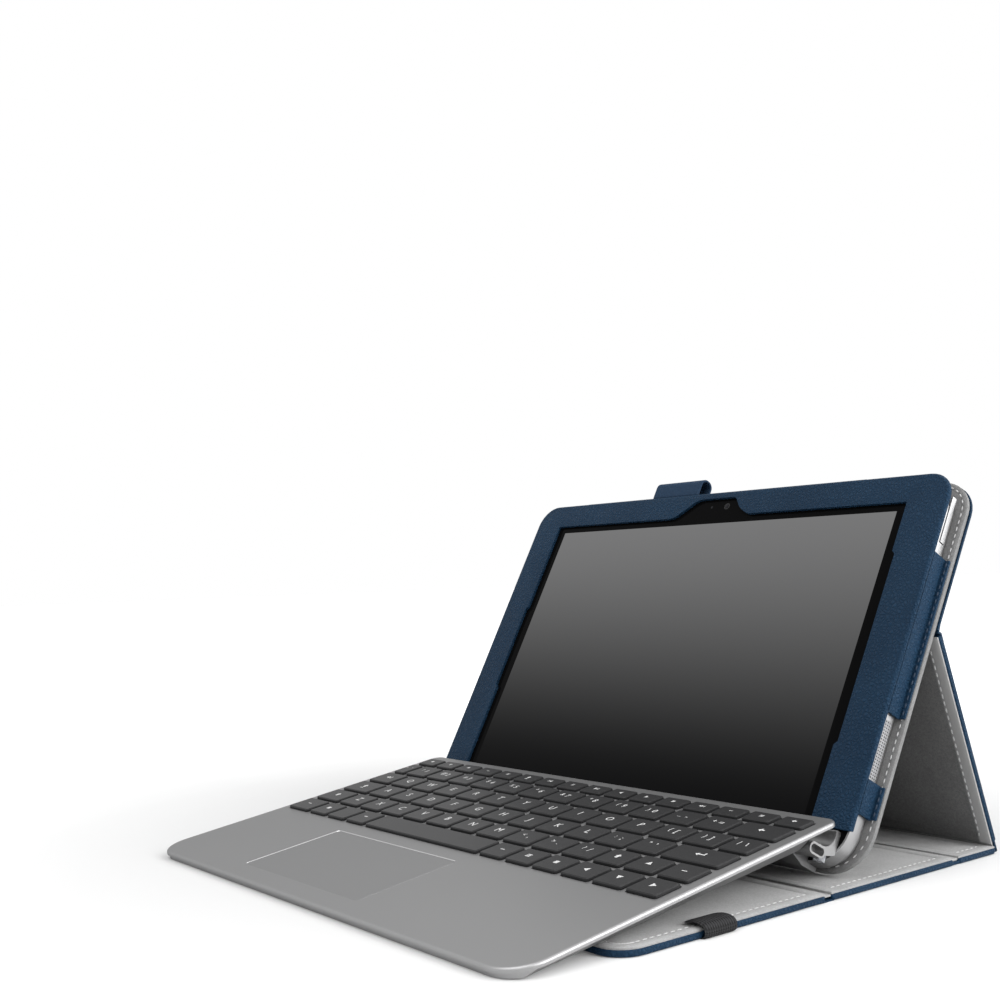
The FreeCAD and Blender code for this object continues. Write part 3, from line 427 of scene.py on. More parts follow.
def bevel(mesh, geom, affect, radius, segments, clamp=False):
    bmesh.ops.bevel(mesh, geom=geom, offset=radius * MM, affect=affect, segments=segments, profile=0.5,
                    material=-1, clamp_overlap=clamp)


def nudge(mesh, x, y, z=0.0):
    bmesh.ops.translate(mesh, verts=mesh.verts, vec=scaled(x, y, z))
    return mesh


def sheet_of(points, rounds=()):
    """A flat face through corner points; rounds gives (corner index, radius)."""
    mesh = bmesh.new()
    corners = [mesh.verts.new((x * MM, y * MM, 0)) for x, y in points]
    mesh.faces.new(corners)
    for index, radius in rounds:
        bevel(mesh, [corners[index]], "VERTICES", radius, segments=9)
    return mesh


def thicken(mesh, low, high):
    """Draws the flat face out between two heights."""
    nudge(mesh, 0, 0, low)
    drawn = bmesh.ops.extrude_face_region(mesh, geom=mesh.faces[:])["geom"]
    moved = [item for item in drawn if isinstance(item, bmesh.types.BMVert)]
    bmesh.ops.translate(mesh, verts=moved, vec=(0, 0, (high - low) * MM))
    bmesh.ops.recalc_face_normals(mesh, faces=mesh.faces)
    return mesh


def plate(points, heights, rounds=()):
    return thicken(sheet_of(points, rounds), *heights)


def rim(mesh, height, wanted):
    """Edges round a flat face at one height."""
    level = height * MM
    found = []
    for edge in mesh.edges:
        if all(abs(vert.co.z - level) < SAME_LEVEL for vert in edge.verts) and len(edge.link_faces) == 2:
            if edge.calc_face_angle(0) > RIM_ANGLE and (wanted is None or wanted(edge)):
                found.append(edge)
    return found


def ease(mesh, height, radius, wanted=None, segments=3):
    """Rounds the rim at one height, or the edges of it that are wanted."""
    bevel(mesh, rim(mesh, height, wanted), "EDGES", radius, segments, clamp=True)
    return mesh


def top_face(mesh):
    return max(mesh.faces, key=lambda face: (round(face.normal.z, 3), face.calc_area()))


def swell(mesh, steps):
    """Insets the upper face in steps of (width, rise), for a puffed hem and its sewn line."""
    mesh.normal_update()
    for width, rise in steps:
        bmesh.ops.inset_region(mesh, faces=[top_face(mesh)], thickness=width * MM, depth=rise * MM,
                               use_even_offset=True, use_boundary=True)
        mesh.normal_update()
    return mesh


def draw_out(mesh, edges, shift, steps):
    """Draws edges out to a sheet, by the same shift at every step, and gives the last edges."""
    for _ in range(steps):
        drawn = bmesh.ops.extrude_edge_only(mesh, edges=edges)["geom"]
        moved = [item for item in drawn if isinstance(item, bmesh.types.BMVert)]
        edges = [item for item in drawn if isinstance(item, bmesh.types.BMEdge)
                 and all(vert in moved for vert in item.verts)]
        bmesh.ops.translate(mesh, verts=moved, vec=shift)
    return edges


def give_wall(mesh, thick):
    """Makes an open sheet a closed wall."""
    bmesh.ops.recalc_face_normals(mesh, faces=mesh.faces)
    bmesh.ops.solidify(mesh, geom=mesh.faces[:], thickness=thick * MM)
    bmesh.ops.recalc_face_normals(mesh, faces=mesh.faces)
    return mesh


def put(mesh, matrix):
    bmesh.ops.transform(mesh, matrix=matrix, verts=mesh.verts)
    if matrix.determinant() < 0:
        bmesh.ops.reverse_faces(mesh, faces=mesh.faces)
    return mesh


def mesh_data(name, mesh):
    """Mesh data from a bmesh, which is used up."""
    data = bpy.data.meshes.new(name)
    mesh.to_mesh(data)
    mesh.free()
    return data


def joined(*meshes):
    """One bmesh from several."""
    whole = bmesh.new()
    for mesh in meshes:
        copy = mesh_data("part", mesh)
        whole.from_mesh(copy)
        bpy.data.meshes.remove(copy)
    return whole


def linked(name, data):
    """A new object in the scene."""
    made = bpy.data.objects.new(name, data)
    bpy.context.scene.collection.objects.link(made)
    return made


def piece(name, mesh, material, body, nodes=(), sharp=42.0):
    """Makes the mesh an object that moves with a body and stands for the given solids."""
    data = mesh_data(name, mesh)
    data.shade_smooth()
    data.set_sharp_from_angle(angle=math.radians(sharp))
    data.materials.append(material)
    made = linked(name, data)
    if body:
        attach(made, body)
    if nodes:
        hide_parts(*nodes)
    return made


def stitch_shape():
    """A ball that each stitch stretches to a short thread, thick in the middle."""
    mesh = bmesh.new()
    bmesh.ops.create_uvsphere(mesh, u_segments=6, v_segments=5, radius=1.0)
    return mesh_data("stitch", mesh)


STITCH = stitch_shape()
STITCH_PITCH = 3.2
STITCH_SIZE = (1.15, 0.35, 0.30)
CORNER_STEPS = 6


def stitches(lines, matrix, height):
    """Stitches along broken lines drawn on a face at one height."""
    mesh = bmesh.new()
    spread = Matrix.Diagonal((*scaled(*STITCH_SIZE), 1))
    for line in lines:
        for start, end in zip(line, line[1:]):
            run = Vector(end) - Vector(start)
            count = max(1, round(run.length / STITCH_PITCH))
            turn = Matrix.Rotation(math.atan2(run.y, run.x), 4, "Z")
            for index in range(count):
                spot = Vector(start) + run * ((index + 0.5) / count)
                old = len(mesh.verts)
                mesh.from_mesh(STITCH)
                mesh.verts.ensure_lookup_table()
                local = Matrix.Translation(scaled(spot.x, spot.y, height)) @ turn @ spread
                bmesh.ops.transform(mesh, matrix=matrix @ local, verts=mesh.verts[old:])
    return mesh


def corner_run(x, y, radius, start):
    """Points round a quarter corner, for a line of stitches."""
    angles = [math.radians(start + 90.0 * step / CORNER_STEPS) for step in range(CORNER_STEPS + 1)]
    return [(x + radius * math.cos(angle), y + radius * math.sin(angle)) for angle in angles]


def arch_lines(side, foot, high, radius):
    """Lines of stitches up both sides, along the top and round the two upper corners."""
    return [[(-side, foot), (-side, high - radius)], [(side, foot), (side, high - radius)],
            [(-side + radius, high), (side - radius, high)],
            corner_run(side - radius, high - radius, radius, 0),
            corner_run(-side + radius, high - radius, radius, 90)]


# Puffed hems, in steps of (width, rise) from the edge inwards, and how far in the cover's hem is sewn
HEM = ((0.5, 0.30), (1.4, 0.12), (1.8, -0.10), (0.7, -0.34), (0.8, 0.26))
BACK_HEM = ((0.5, 0.35), (0.9, 0.12), (0.6, -0.12), (0.5, -0.30), (0.6, 0.2))
HEM_STITCH = 4.6


def leather_board(points, rounds, heights, matrix, soft=0.75):
    """Leather turned round a board, with soft edges."""
    low, high = heights
    mesh = plate(points, heights, rounds)
    ease(mesh, low, soft)
    ease(mesh, high, soft * 0.6)
    return put(mesh, matrix)


def lining_board(points, rounds, heights, matrix):
    """Lining with a puffed hem between its edge and its sewn line."""
    return put(swell(plate(points, heights, rounds), HEM), matrix)


def folded_strip(path, thick, side, steps):
    """A strip of leather or lining across the case that follows a side view path."""
    mesh = bmesh.new()
    first = [mesh.verts.new((x * MM, path[0][0] * MM, path[0][1] * MM)) for x in (-side, side)]
    edges = [mesh.edges.new(first)]
    for (y0, z0), (y1, z1) in zip(path, path[1:]):
        shift = (0, (y1 - y0) / steps * MM, (z1 - z0) / steps * MM)
        edges = draw_out(mesh, edges, shift, steps)
    return give_wall(mesh, thick)


def side_view(matrix, along, out):
    """Where a point of a tilted panel lies in the side view."""
    spot = matrix @ Vector(scaled(0, along, out))
    return spot.y / MM, spot.z / MM


# Cover: base, spine, flap and stand

LINING_INSET = 0.6
LINING_SIDE = SIDE - LINING_INSET
COVER_LEATHER = (0, 2.35)
COVER_LINING = (2.3, 2.95)
CREASE_LEATHER = (0.05, 1.3)
CREASE_LINING = (1.4, 2.45)
STAND_LEATHER = (1.15, 3.5)
STAND_LINING = (-1.2, -0.5)
SEWN_ABOVE, SEWN_BELOW = 3.02, 0.12
SEAM_END = 3.5
SMALL_ROUND = 1.2
CREASE_REACH = 3.0
CREASE_INSET = 0.5
BASE = box_points(-SIDE, SIDE, FLAP_CREASE_Y + HALF_CREASE, SPINE_CREASE_Y - HALF_CREASE)
SPINE = box_points(-SIDE, SIDE, SPINE_CREASE_Y + HALF_CREASE, REAR_Y - HALF_CREASE)


def lined(points):
    """The same panel drawn in at its sides."""
    return [(x - math.copysign(LINING_INSET, x), y) for x, y in points]


def base_cover():
    """Base and spine with the crease between them."""
    y, edge, crease_soft = SPINE_CREASE_Y, SIDE - CREASE_INSET, 0.3
    crease = box_points(-edge, edge, y - CREASE_REACH, y + CREASE_REACH)
    small = all_corners(SMALL_ROUND)
    leather = joined(leather_board(BASE, small, COVER_LEATHER, ON_TABLE),
                     leather_board(SPINE, small, COVER_LEATHER, ON_TABLE),
                     leather_board(crease, (), CREASE_LEATHER, ON_TABLE, crease_soft))
    piece("base_leather_cover", leather, LEATHER, "base_cover", ["base_leather"])
    lining = joined(lining_board(lined(BASE), (), COVER_LINING, ON_TABLE),
                    lining_board(lined(SPINE), (), COVER_LINING, ON_TABLE),
                    leather_board(lined(crease), (), CREASE_LINING, ON_TABLE, crease_soft))
    piece("base_lining_cover", lining, LINING, "base_cover", ["base_lining"])
    sewn = LINING_SIDE - HEM_STITCH
    runs = []
    for side in (-sewn, sewn):
        runs.append([(side, FLAP_CREASE_Y + SEAM_END), (side, SPINE_CREASE_Y - SEAM_END)])
        runs.append([(side, SPINE_CREASE_Y + SEAM_END), (side, REAR_Y - SEAM_END)])
    piece("base_stitches", stitches(runs, ON_TABLE, SEWN_ABOVE), PALE_THREAD, "base_cover")
    piece("base_under_stitches", stitches(runs, ON_TABLE, SEWN_BELOW), BLUE_THREAD, "base_cover")


def flap_lines(inset):
    """Lines of stitches round the flap's sides and front."""
    front = FLAP_FRONT_Y + inset
    side = SIDE - inset
    radius = FLAP_CORNER - inset
    left = corner_run(-side + radius, front + radius, radius, 180)
    right = corner_run(side - radius, front + radius, radius, 270)
    back = FLAP_CREASE_Y - SEAM_END
    return [[(-side, back), left[0]], left, [left[-1], right[0]], right, [right[-1], (side, back)]]


def front_flap():
    back = FLAP_CREASE_Y - HALF_CREASE
    outer = box_points(-SIDE, SIDE, FLAP_FRONT_Y, back)
    inner = box_points(-LINING_SIDE, LINING_SIDE, FLAP_FRONT_Y + LINING_INSET, back)
    rounds = [(0, FLAP_CORNER), (1, FLAP_CORNER), (2, SMALL_ROUND), (3, SMALL_ROUND)]
    leather = leather_board(outer, rounds, COVER_LEATHER, ON_TABLE)
    piece("flap_leather_cover", leather, LEATHER, "front_flap", ["flap_leather"])
    corner = FLAP_CORNER - LINING_INSET
    lining = lining_board(inner, [(0, corner), (1, corner)], COVER_LINING, ON_TABLE)
    piece("flap_lining_cover", lining, LINING, "front_flap", ["flap_lining"])
    lines = flap_lines(LINING_INSET + HEM_STITCH)
    piece("flap_stitches", stitches(lines, ON_TABLE, SEWN_ABOVE), PALE_THREAD, "front_flap")
    piece("flap_under_stitches", stitches(lines, ON_TABLE, SEWN_BELOW), BLUE_THREAD, "front_flap")


def elastic_band():
    """A puffed loop of ribbed elastic sewn round the flap's right edge."""
    setback, width, steps, thick = 58.5, 16.0, 4, 0.9
    path = [(127.6, 3.35), (129.5, 4.0), (132.0, 4.55), (134.6, 4.5), (136.6, 3.9), (137.4, 2.6),
            (137.2, 1.2), (136.3, 0.45), (134.0, 0.25), (130.0, 0.22), (127.6, 0.3)]
    front = FLAP_CREASE_Y - setback - width / 2
    mesh = bmesh.new()
    verts = [mesh.verts.new(scaled(x, front, z)) for x, z in path]
    edges = [mesh.edges.new(pair) for pair in zip(verts, verts[1:])]
    draw_out(mesh, edges, scaled(0, width / steps, 0), steps)
    give_wall(mesh, -thick)
    made = piece("elastic_loop", mesh, ELASTIC, "front_flap", ["elastic_band"], sharp=60.0)
    smooth = made.modifiers.new("smooth", "SUBSURF")
    smooth.levels = smooth.render_levels = 2


def stand_panel():
    start, end, seam_end = HALF_CREASE, STAND_LENGTH - 5.0, 2.0
    panel = box_points(-SIDE, SIDE, start, end)
    leather = leather_board(panel, all_corners(SMALL_ROUND), STAND_LEATHER, ON_STAND)
    piece("stand_leather_cover", leather, LEATHER, "stand_panel", ["stand_leather"])
    inside = ON_STAND @ FACE_DOWN
    lining = lining_board(lined(panel), (), STAND_LINING, inside)
    piece("stand_lining_cover", lining, SHADED_LINING, "stand_panel", ["stand_lining"])
    sewn = LINING_SIDE - HEM_STITCH
    runs = [[(side, start + seam_end), (side, end - seam_end)] for side in (-sewn, sewn)]
    piece("stand_stitches", stitches(runs, inside, height=-0.42), PALE_THREAD, "stand_panel")
    outer = stitches(runs, ON_STAND, height=3.42)
    piece("stand_outer_stitches", outer, BLUE_THREAD, "stand_panel")


def creases():
    """Soft strips that bend between the panels."""
    y, foot = FLAP_CREASE_Y, STAND_LENGTH
    leather, skin, back_skin, bend_inset = 0.8, 3.0, -13.8, 0.4
    path = [(y + CREASE_REACH, 0.5), (y - CREASE_REACH, 0.5)]
    strip = folded_strip(path, leather, SIDE - CREASE_INSET, steps=8)
    made = piece("flap_crease_leather", strip, LEATHER, None, ["flap_crease"])
    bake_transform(made)
    path = [(y + CREASE_REACH, 2.2), (y - CREASE_REACH, 2.2)]
    strip = folded_strip(path, 0.7, LINING_SIDE - CREASE_INSET, steps=8)
    made = piece("flap_crease_lining", strip, LINING, None)
    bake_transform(made)
    path = [(REAR_Y - 4, 0.7), (REAR_Y - 1.2, 0.7), (REAR_Y - 0.3, 1.0),
            side_view(ON_STAND, foot - 1.4, skin), side_view(ON_STAND, foot - 7, skin)]
    strip = folded_strip(path, leather, SIDE - bend_inset, steps=3)
    made = piece("stand_crease_leather", strip, LEATHER, None, ["stand_crease"])
    start = (0, (REAR_Y - 2.5) * MM, 0.7 * MM)
    end = [0, *scaled(*side_view(ON_STAND, foot - 4, skin))]
    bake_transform(made)
    path = [(REAR_Y - 4, 2.2), (REAR_Y - 2.6, 1.9), (REAR_Y - 1.5, 1.5),
            side_view(ON_STAND, foot - 2.4, 1.6), side_view(ON_STAND, foot - 7, 1.7)]
    strip = folded_strip(path, 0.5, LINING_SIDE - bend_inset, steps=3)
    made = piece("stand_crease_lining", strip, LINING, None)
    scaled(0, REAR_Y - 2, 2.3)
    scaled(0, REAR_Y - 2, 3.6)
    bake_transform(made)
    path = [side_view(ON_STAND, 5, skin), side_view(ON_STAND, 1.6, skin),
            side_view(ON_TABLET, BACK_FOLD + 1.0, -14.4), side_view(ON_TABLET, BACK_FOLD + 4.5, back_skin)]
    strip = folded_strip(path, leather, SIDE - bend_inset, steps=3)
    made = piece("back_crease_leather", strip, LEATHER, None, ["back_crease"])
    start = [0, *scaled(*side_view(ON_STAND, 3, skin))]
    end = [0, *scaled(*side_view(ON_TABLET, BACK_FOLD + 3, back_skin))]
    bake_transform(made)


# Pocket; its heights are measured from the front of its leather

BACK_LINING = (-13.15, -10.75)
BACK_LEATHER = (-14.4, -13.1)
FRAME = (-1.65, 0)
WALL = (-10.0, -0.55)
FLANGE = (-10.4, -9.3)
LOWER_CORNER, UPPER_CORNER = 18.0, 15.0
FRAME_CORNER = 12.0


def pocket_back():
    """Board wrapped in pale lining, behind the tablet, with leather over its upper half."""
    upper_corners = [(2, UPPER_CORNER), (3, UPPER_CORNER)]
    rounds = [(0, LOWER_CORNER), (1, LOWER_CORNER), *upper_corners]
    mesh = plate(box_points(-PLATE_SIDE, PLATE_SIDE, 0, PLATE_TOP), BACK_LINING, rounds)
    ease(mesh, BACK_LINING[0], 0.9)
    swell(mesh, BACK_HEM)
    piece("pocket_back_lining", put(mesh, ON_TABLET), PALE_LINING, "tablet_pocket",
          ["back_board", "back_lining"])
    inset, lower, upper = 1.95, 16.0, 13.0
    side, high = PLATE_SIDE - inset, PLATE_TOP - inset
    foot = inset + lower
    lines = [*arch_lines(side, foot, high, upper), corner_run(side - lower, foot, lower, 270),
             corner_run(-side + lower, foot, lower, 180)]
    sewn = stitches(lines, ON_TABLET, height=-10.42)
    piece("pocket_back_stitches", sewn, PALE_THREAD, "tablet_pocket")
    cover = box_points(-SIDE, SIDE, BACK_FOLD + HALF_CREASE, PLATE_TOP)
    mesh = plate(cover, BACK_LEATHER, upper_corners)
    ease(mesh, BACK_LEATHER[0], 0.5)
    piece("upper_back_cover", put(mesh, ON_TABLET), LEATHER, "tablet_pocket",
          ["upper_back_leather"])
    inset, radius, foot = 4.6, 10.4, BACK_FOLD + 5
    lines = arch_lines(SIDE - inset, foot, PLATE_TOP - inset, radius)
    sewn = stitches(lines, ON_TABLET, height=-14.36)
    piece("upper_back_stitches", sewn, BLUE_THREAD, "tablet_pocket")


def on_border(edge):
    """Whether an edge lies on the pocket's outer sides, top or upper corners."""
    side, top, corner, close = POCKET_SIDE * MM, POCKET_TOP * MM, (FRAME_CORNER + 0.5) * MM, 1e-5
    middle = sum((vert.co for vert in edge.verts), Vector()) / 2
    across, up = abs(middle.x), middle.y
    near_side, near_top = across > side - close, up > top - close
    return near_side or near_top or (across > side - corner and up > top - corner)


def off_border(edge):
    return not on_border(edge)


def pocket_front():
    """Leather frame round the screen, turned back in straps and tabs over the tablet's sides."""
    side, foot, window, wide, sill = POCKET_SIDE, 15.0, 113.5, 115.0, 157.2
    points = [
        (-side, foot), (-window, foot), (-window, 61.0), (-wide, 62.5), (-wide, 106.5), (-window, 108.0),
        (-window, sill), (-25.0, sill), (-11.0, 167.0), (13.5, 167.0), (18.0, 160.9), (24.0, sill),
        (window, sill), (window, 134.0), (wide, 132.5), (wide, 49.5), (window, 48.0), (window, foot),
        (side, foot), (side, POCKET_TOP), (-side, POCKET_TOP),
    ]
    rounds = [(19, FRAME_CORNER), (20, FRAME_CORNER), (7, 3.0), (8, 3.0), (9, 1.6), (10, 1.4), (11, 2.0),
              (6, 0.8), (12, 0.8)]
    back, front = FRAME
    mesh = plate(points, FRAME, rounds)
    ease(mesh, front, 1.35, on_border, segments=5)
    ease(mesh, front, 0.7, off_border)
    ease(mesh, back, 0.3, off_border)
    parts = [mesh]
    strap_inside, flange_side, flange_trim, seam_side = 131.75, 135.3, 0.4, 134.2
    seams = []
    for low, high in STRAPS:
        for turn in (-1, 1):
            for reach, trim, heights in ((side, 0.0, WALL), (flange_side, flange_trim, FLANGE)):
                ends = sorted((turn * strap_inside, turn * reach))
                part = plate(box_points(*ends, low + trim, high - trim), heights)
                bevel(part, part.edges[:], "EDGES", radius=0.35, segments=2)
                parts.append(part)
            seams.append([(turn * seam_side, low + 1), (turn * seam_side, high - 1)])
    band_left, band_right, band_inside, band_reach = -96, 88, 169.25, 171.6
    top = plate(box_points(band_left, band_right, band_inside, POCKET_TOP), WALL)
    ease(top, WALL[1], 0.3)
    band = plate(box_points(band_left, band_right, band_inside, band_reach), FLANGE)
    ease(band, FLANGE[1], 0.35)
    whole = put(joined(*parts, top, band), ON_TABLET)
    piece("pocket_frame_leather", whole, LEATHER, "tablet_pocket", ["pocket_front"])
    piece("strap_stitches", stitches(seams, ON_TABLET, FLANGE[1]), NAVY_THREAD, "tablet_pocket")


def pen_loop():
    """Woven tape bent to a loop above the pocket's top edge."""
    low, high, foot, top = -9.25, -1.35, POCKET_TOP + 0.05, POCKET_TOP + 10.45
    left, width, steps, thick = -47.0, 32.0, 4, 0.95
    mesh = sheet_of(box_points(foot, top, low, high), [(1, 3.6), (2, 3.6), (0, 1.2), (3, 1.2)])
    loop = mesh.edges[:]
    bmesh.ops.delete(mesh, geom=mesh.faces[:], context="FACES_ONLY")
    draw_out(mesh, loop, scaled(0, 0, width / steps), steps)
    give_wall(mesh, thick)
    along = Matrix(((0, 0, 1, left * MM), (1, 0, 0, 0), (0, 1, 0, 0), (0, 0, 0, 1)))
    made = piece("pen_loop_tape", put(mesh, ON_TABLET @ along), WEBBING, "tablet_pocket",
                 ["pen_loop"], sharp=50.0)
    soft = made.modifiers.new("soft", "BEVEL")
    soft.width = 0.25 * MM
    soft.segments = 2
    soft.limit_method = "ANGLE"


def round_plate(x, y, radius, low, high):
    """A small round plate with an eased edge."""
    mesh = bmesh.new()
    bmesh.ops.create_circle(mesh, cap_ends=True, segments=32, radius=radius * MM)
    thicken(mesh, low, high)
    ease(mesh, high, min(radius * 0.3, (high - low) * 0.6))
    return nudge(mesh, x, y)


def camera_window():
    """Lens and light sensor that show through the notch."""
    ring = round_plate(CAMERA_X, CAMERA_UP, radius=1.7, low=-1.72, high=-1.62)
    piece("camera_ring", put(ring, ON_TABLET), RUBBER, "tablet_pocket")
    lens = joined(round_plate(CAMERA_X, CAMERA_UP, radius=1.25, low=-1.70, high=-1.58),
                  round_plate(SENSOR_X, CAMERA_UP, radius=0.7, low=-1.72, high=-1.66))
    piece("camera_lens", put(lens, ON_TABLET), LENS, "tablet_pocket")


def trackpad_rim():
    """Polished chamfer that runs round the trackpad's opening in the deck."""
    left, right, front, back, corner = -64.35, 25.35, -141.65, -95.85, 1.85
    width, depth, proud, chamfer = 0.26, 0.3, 0.02, 0.23
    mesh = sheet_of(box_points(left, right, front, back), all_corners(corner))
    bmesh.ops.inset_region(mesh, faces=mesh.faces[:], thickness=width * MM, use_even_offset=True,
                           use_boundary=True)
    bmesh.ops.delete(mesh, geom=[max(mesh.faces, key=lambda face: face.calc_area())], context="FACES")
    high = DECK_TOP + proud
    thicken(mesh, DECK_TOP - depth, high)
    middle = Vector(scaled((left + right) / 2, (front + back) / 2, DECK_TOP))

    def faces_pad(edge):
        return any(abs(face.normal.z) < 0.1 and face.normal.dot(face.calc_center_median() - middle) < 0
                   for face in edge.link_faces)

    ease(mesh, high, chamfer, faces_pad, segments=1)
    piece("trackpad_rim", put(mesh, ON_DECK), BRIGHT, "keyboard")


# Key legends

KEY_MARGIN = 4.1
ROW_UNITS = 14.0
KEY_PITCH = (2 * DECK_SIDE - 2 * KEY_MARGIN) / ROW_UNITS
FUNCTION_ROW = (7.6, 8.6)
FIRST_ROW = 18.7
ROW_PITCH = 15.0
KEY_DEPTH = 12.5
CAP_TOP = DECK_TOP + 1.3
INK_HALF = 0.02
LETTER_SIZE, PLAIN_SIZE, SHIFTED_SIZE = 5.0, 4.4, 3.6
FUNCTION_MARK, PLAIN_MARK = 0.72, 0.95

ARROW = [(-1.5, 0), (0.2, 1.5), (0.2, 0.45), (1.6, 0.45), (1.6, -0.45), (0.2, -0.45), (0.2, -1.5)]
TRIANGLE = [(-1.5, 0), (1.1, 1.45), (1.1, -1.45)]
BAR = box_points(-0.25, 0.25, -1.3, 1.3)
SQUARE = box_points(-1.1, 1.1, -1.1, 1.1)
HOUSE = [(0, 1.8), (1.6, 0.2), (0.75, 0.2), (0.75, -1.4), (-0.75, -1.4), (-0.75, 0.2), (-1.6, 0.2)]
HOOK = [(-2.4, 0), (-0.9, 1.2), (-0.9, 0.35), (1.7, 0.35), (1.7, 1.7), (2.4, 1.7), (2.4, -0.35),
        (-0.9, -0.35), (-0.9, -1.2)]

# Each symbol's outlines, with a turn in degrees and a shift sideways, or upwards for a bar that lies
SHAPES = {
    "left": [(TRIANGLE, 0, 0)],
    "right": [(TRIANGLE, 180, 0)],
    "up": [(TRIANGLE, 270, 0)],
    "down": [(TRIANGLE, 90, 0)],
    "back": [(ARROW, 0, 0)],
    "shift": [(HOUSE, 0, 0)],
    "caps": [(HOUSE, 0, 0), (BAR, 90, -2.4)],
    "tab": [(ARROW, 180, 0), (BAR, 0, 2.3)],
    "enter": [(HOOK, 0, 0)],
    "pause": [(BAR, 0, -0.6), (BAR, 0, 0.6)],
    "stop": [(SQUARE, 0, 0)],
    "menu": [(BAR, 90, -0.9), (BAR, 90, 0), (BAR, 90, 0.9)],
    "bar": [(BAR, 90, 0)],
    "first": [(TRIANGLE, 0, 0.4), (BAR, 0, -1.7)],
    "last": [(TRIANGLE, 180, -0.4), (BAR, 0, 1.7)],
}


def alike(units, texts):
    """Keys of one width; a text may name its own node before a colon."""
    return [(units, text) for text in texts.split()]


ROWS = [
    ("function_keys", alike(0.875, "stop down up bar menu caps first pause last left right")
     + alike(0.875, "stop tab bar menu back")),
    ("number_keys", alike(0.6, "~`") + alike(1, "!1 @2 #3 $4 %5 ^6 &7 *8 (9 )0 _- +=")
     + alike(1.4, "backspace_key:back")),
    ("upper_letter_keys", alike(1.1, "tab_key:tab") + alike(1, "Q W E R T Y U I O P {[ }]")
     + alike(0.9, "|\\")),
    ("home_letter_keys", alike(1.3, "caps_key:caps") + alike(1, "A S D F G H J K L :; \"'")
     + alike(1.7, "enter_key:enter")),
    ("lower_letter_keys", alike(1.2, "left_shift_key:shift") + alike(1, "Z X C V B N M <, >. ?/")
     + alike(0.9, "right_shift_key:shift") + alike(0.95, "up_arrow_key:up bar")),
    ("bottom_row_keys", [(1.1, "bar"), (0.9, "stop"), (0.9, ""), (0.9, "bar"), (4.65, "")]
     + alike(0.9, "bar menu stop")
     + alike(0.95, "left_arrow_key:left down_arrow_key:down right_arrow_key:right")),
]


def glyph(text, size):
    """Lettering as a thin closed mesh, centred on the origin."""
    curve = bpy.data.curves.new("legend", "FONT")
    curve.body = text
    curve.size = size * MM
    curve.align_x = "CENTER"
    curve.align_y = "CENTER"
    curve.extrude = INK_HALF * MM
    curve.resolution_u = 3
    made = linked("legend", curve)
    bpy.context.view_layer.update()
    data = bpy.data.meshes.new_from_object(made)
    bpy.data.objects.remove(made)
    bpy.data.curves.remove(curve)
    mesh = bmesh.new()
    mesh.from_mesh(data)
    bpy.data.meshes.remove(data)
    bmesh.ops.remove_doubles(mesh, verts=mesh.verts, dist=1e-7)
    return mesh


def mark(shape, scale):
    """A drawn symbol as thin closed plates."""
    parts = []
    for points, turn, shift in SHAPES[shape]:
        part = plate(points, (-INK_HALF, INK_HALF))
        bmesh.ops.rotate(part, verts=part.verts, matrix=Matrix.Rotation(math.radians(turn), 3, "Z"))
        lying = turn == 90 and points is BAR
        nudge(part, 0 if lying else shift, shift if lying else 0)
        bmesh.ops.scale(part, verts=part.verts, vec=(scale, scale, 1))
        parts.append(part)
    return joined(*parts)


def legend(text, mark_scale):
    """A symbol, a letter, or a shifted and a plain character side by side."""
    if text in SHAPES:
        return mark(text, mark_scale)
    if len(text) == 2:
        shifted = nudge(glyph(text[0], SHIFTED_SIZE), -2.4, 0.8)
        return joined(shifted, nudge(glyph(text[1], PLAIN_SIZE), 1.6, 0))
    return glyph(text, LETTER_SIZE)


def key_legends():
    """The legends of each key node as one piece."""
    legends = {}
    for row, (group, row_keys) in enumerate(ROWS):
        if row == 0:
            (setback, depth), mark_scale = FUNCTION_ROW, FUNCTION_MARK
        else:
            setback, depth, mark_scale = FIRST_ROW + (row - 1) * ROW_PITCH, KEY_DEPTH, PLAIN_MARK
        y = DECK_SETBACK - setback - depth / 2
        left = -DECK_SIDE + KEY_MARGIN
        for units, text in row_keys:
            middle = left + units * KEY_PITCH / 2
            left += units * KEY_PITCH
            node, text = text.split(":") if ":" in text and len(text) > 2 else (group, text)
            if text:
                spot = ON_DECK @ Matrix.Translation(scaled(middle, y + 0.4, CAP_TOP + 0.01))
                legends.setdefault(node, []).append(put(legend(text, mark_scale), spot))
    for node, parts in legends.items():
        piece(node + "_legends", joined(*parts), INK, node + "_body")


# Finishes of the solids


def paint(material, *names):
    for name in names:
        NODES[name].data.materials.clear()
        NODES[name].data.materials.append(material)


def paint_solids():
    keys = [name for name in NODES if name.endswith(("_keys", "_key")) or name == "space_bar"]
    paint(KEYCAP, *keys)
    paint(SILVER, "key_deck", "bottom_shell", "hinge_cradle")
    paint(TABLET_SILVER, "tablet_housing", "volume_rocker", "power_button")
    paint(PAD, "trackpad")
    paint(GRILLE, "speaker_grilles")
    paint(SCREEN, "screen_glass")
    paint(PANEL, "display_panel")
    paint(CELL, "battery")
    paint(CIRCUIT, "main_board", "keyboard_circuit")
    paint(LENS, "front_camera")
    paint(CONTACTS, "dock_connector")
    paint(STEEL, "hinge_pins", "case_screws", "key_plate")
    paint(CLEAR, "corner_bumpers")
    paint(RUBBER, "keyboard_feet")
    paint(STIFFENER, "base_board", "spine_board", "flap_board", "stand_board", "pocket_core")
    paint(PALE_LINING, "back_board", "back_lining")
    paint(LINING, "base_lining", "flap_lining", "stand_lining")
    paint(LEATHER, "base_leather", "flap_leather", "stand_leather", "upper_back_leather", "pocket_front",
          "flap_crease", "stand_crease", "back_crease")
    paint(ELASTIC, "elastic_band")
    paint(WEBBING, "pen_loop")


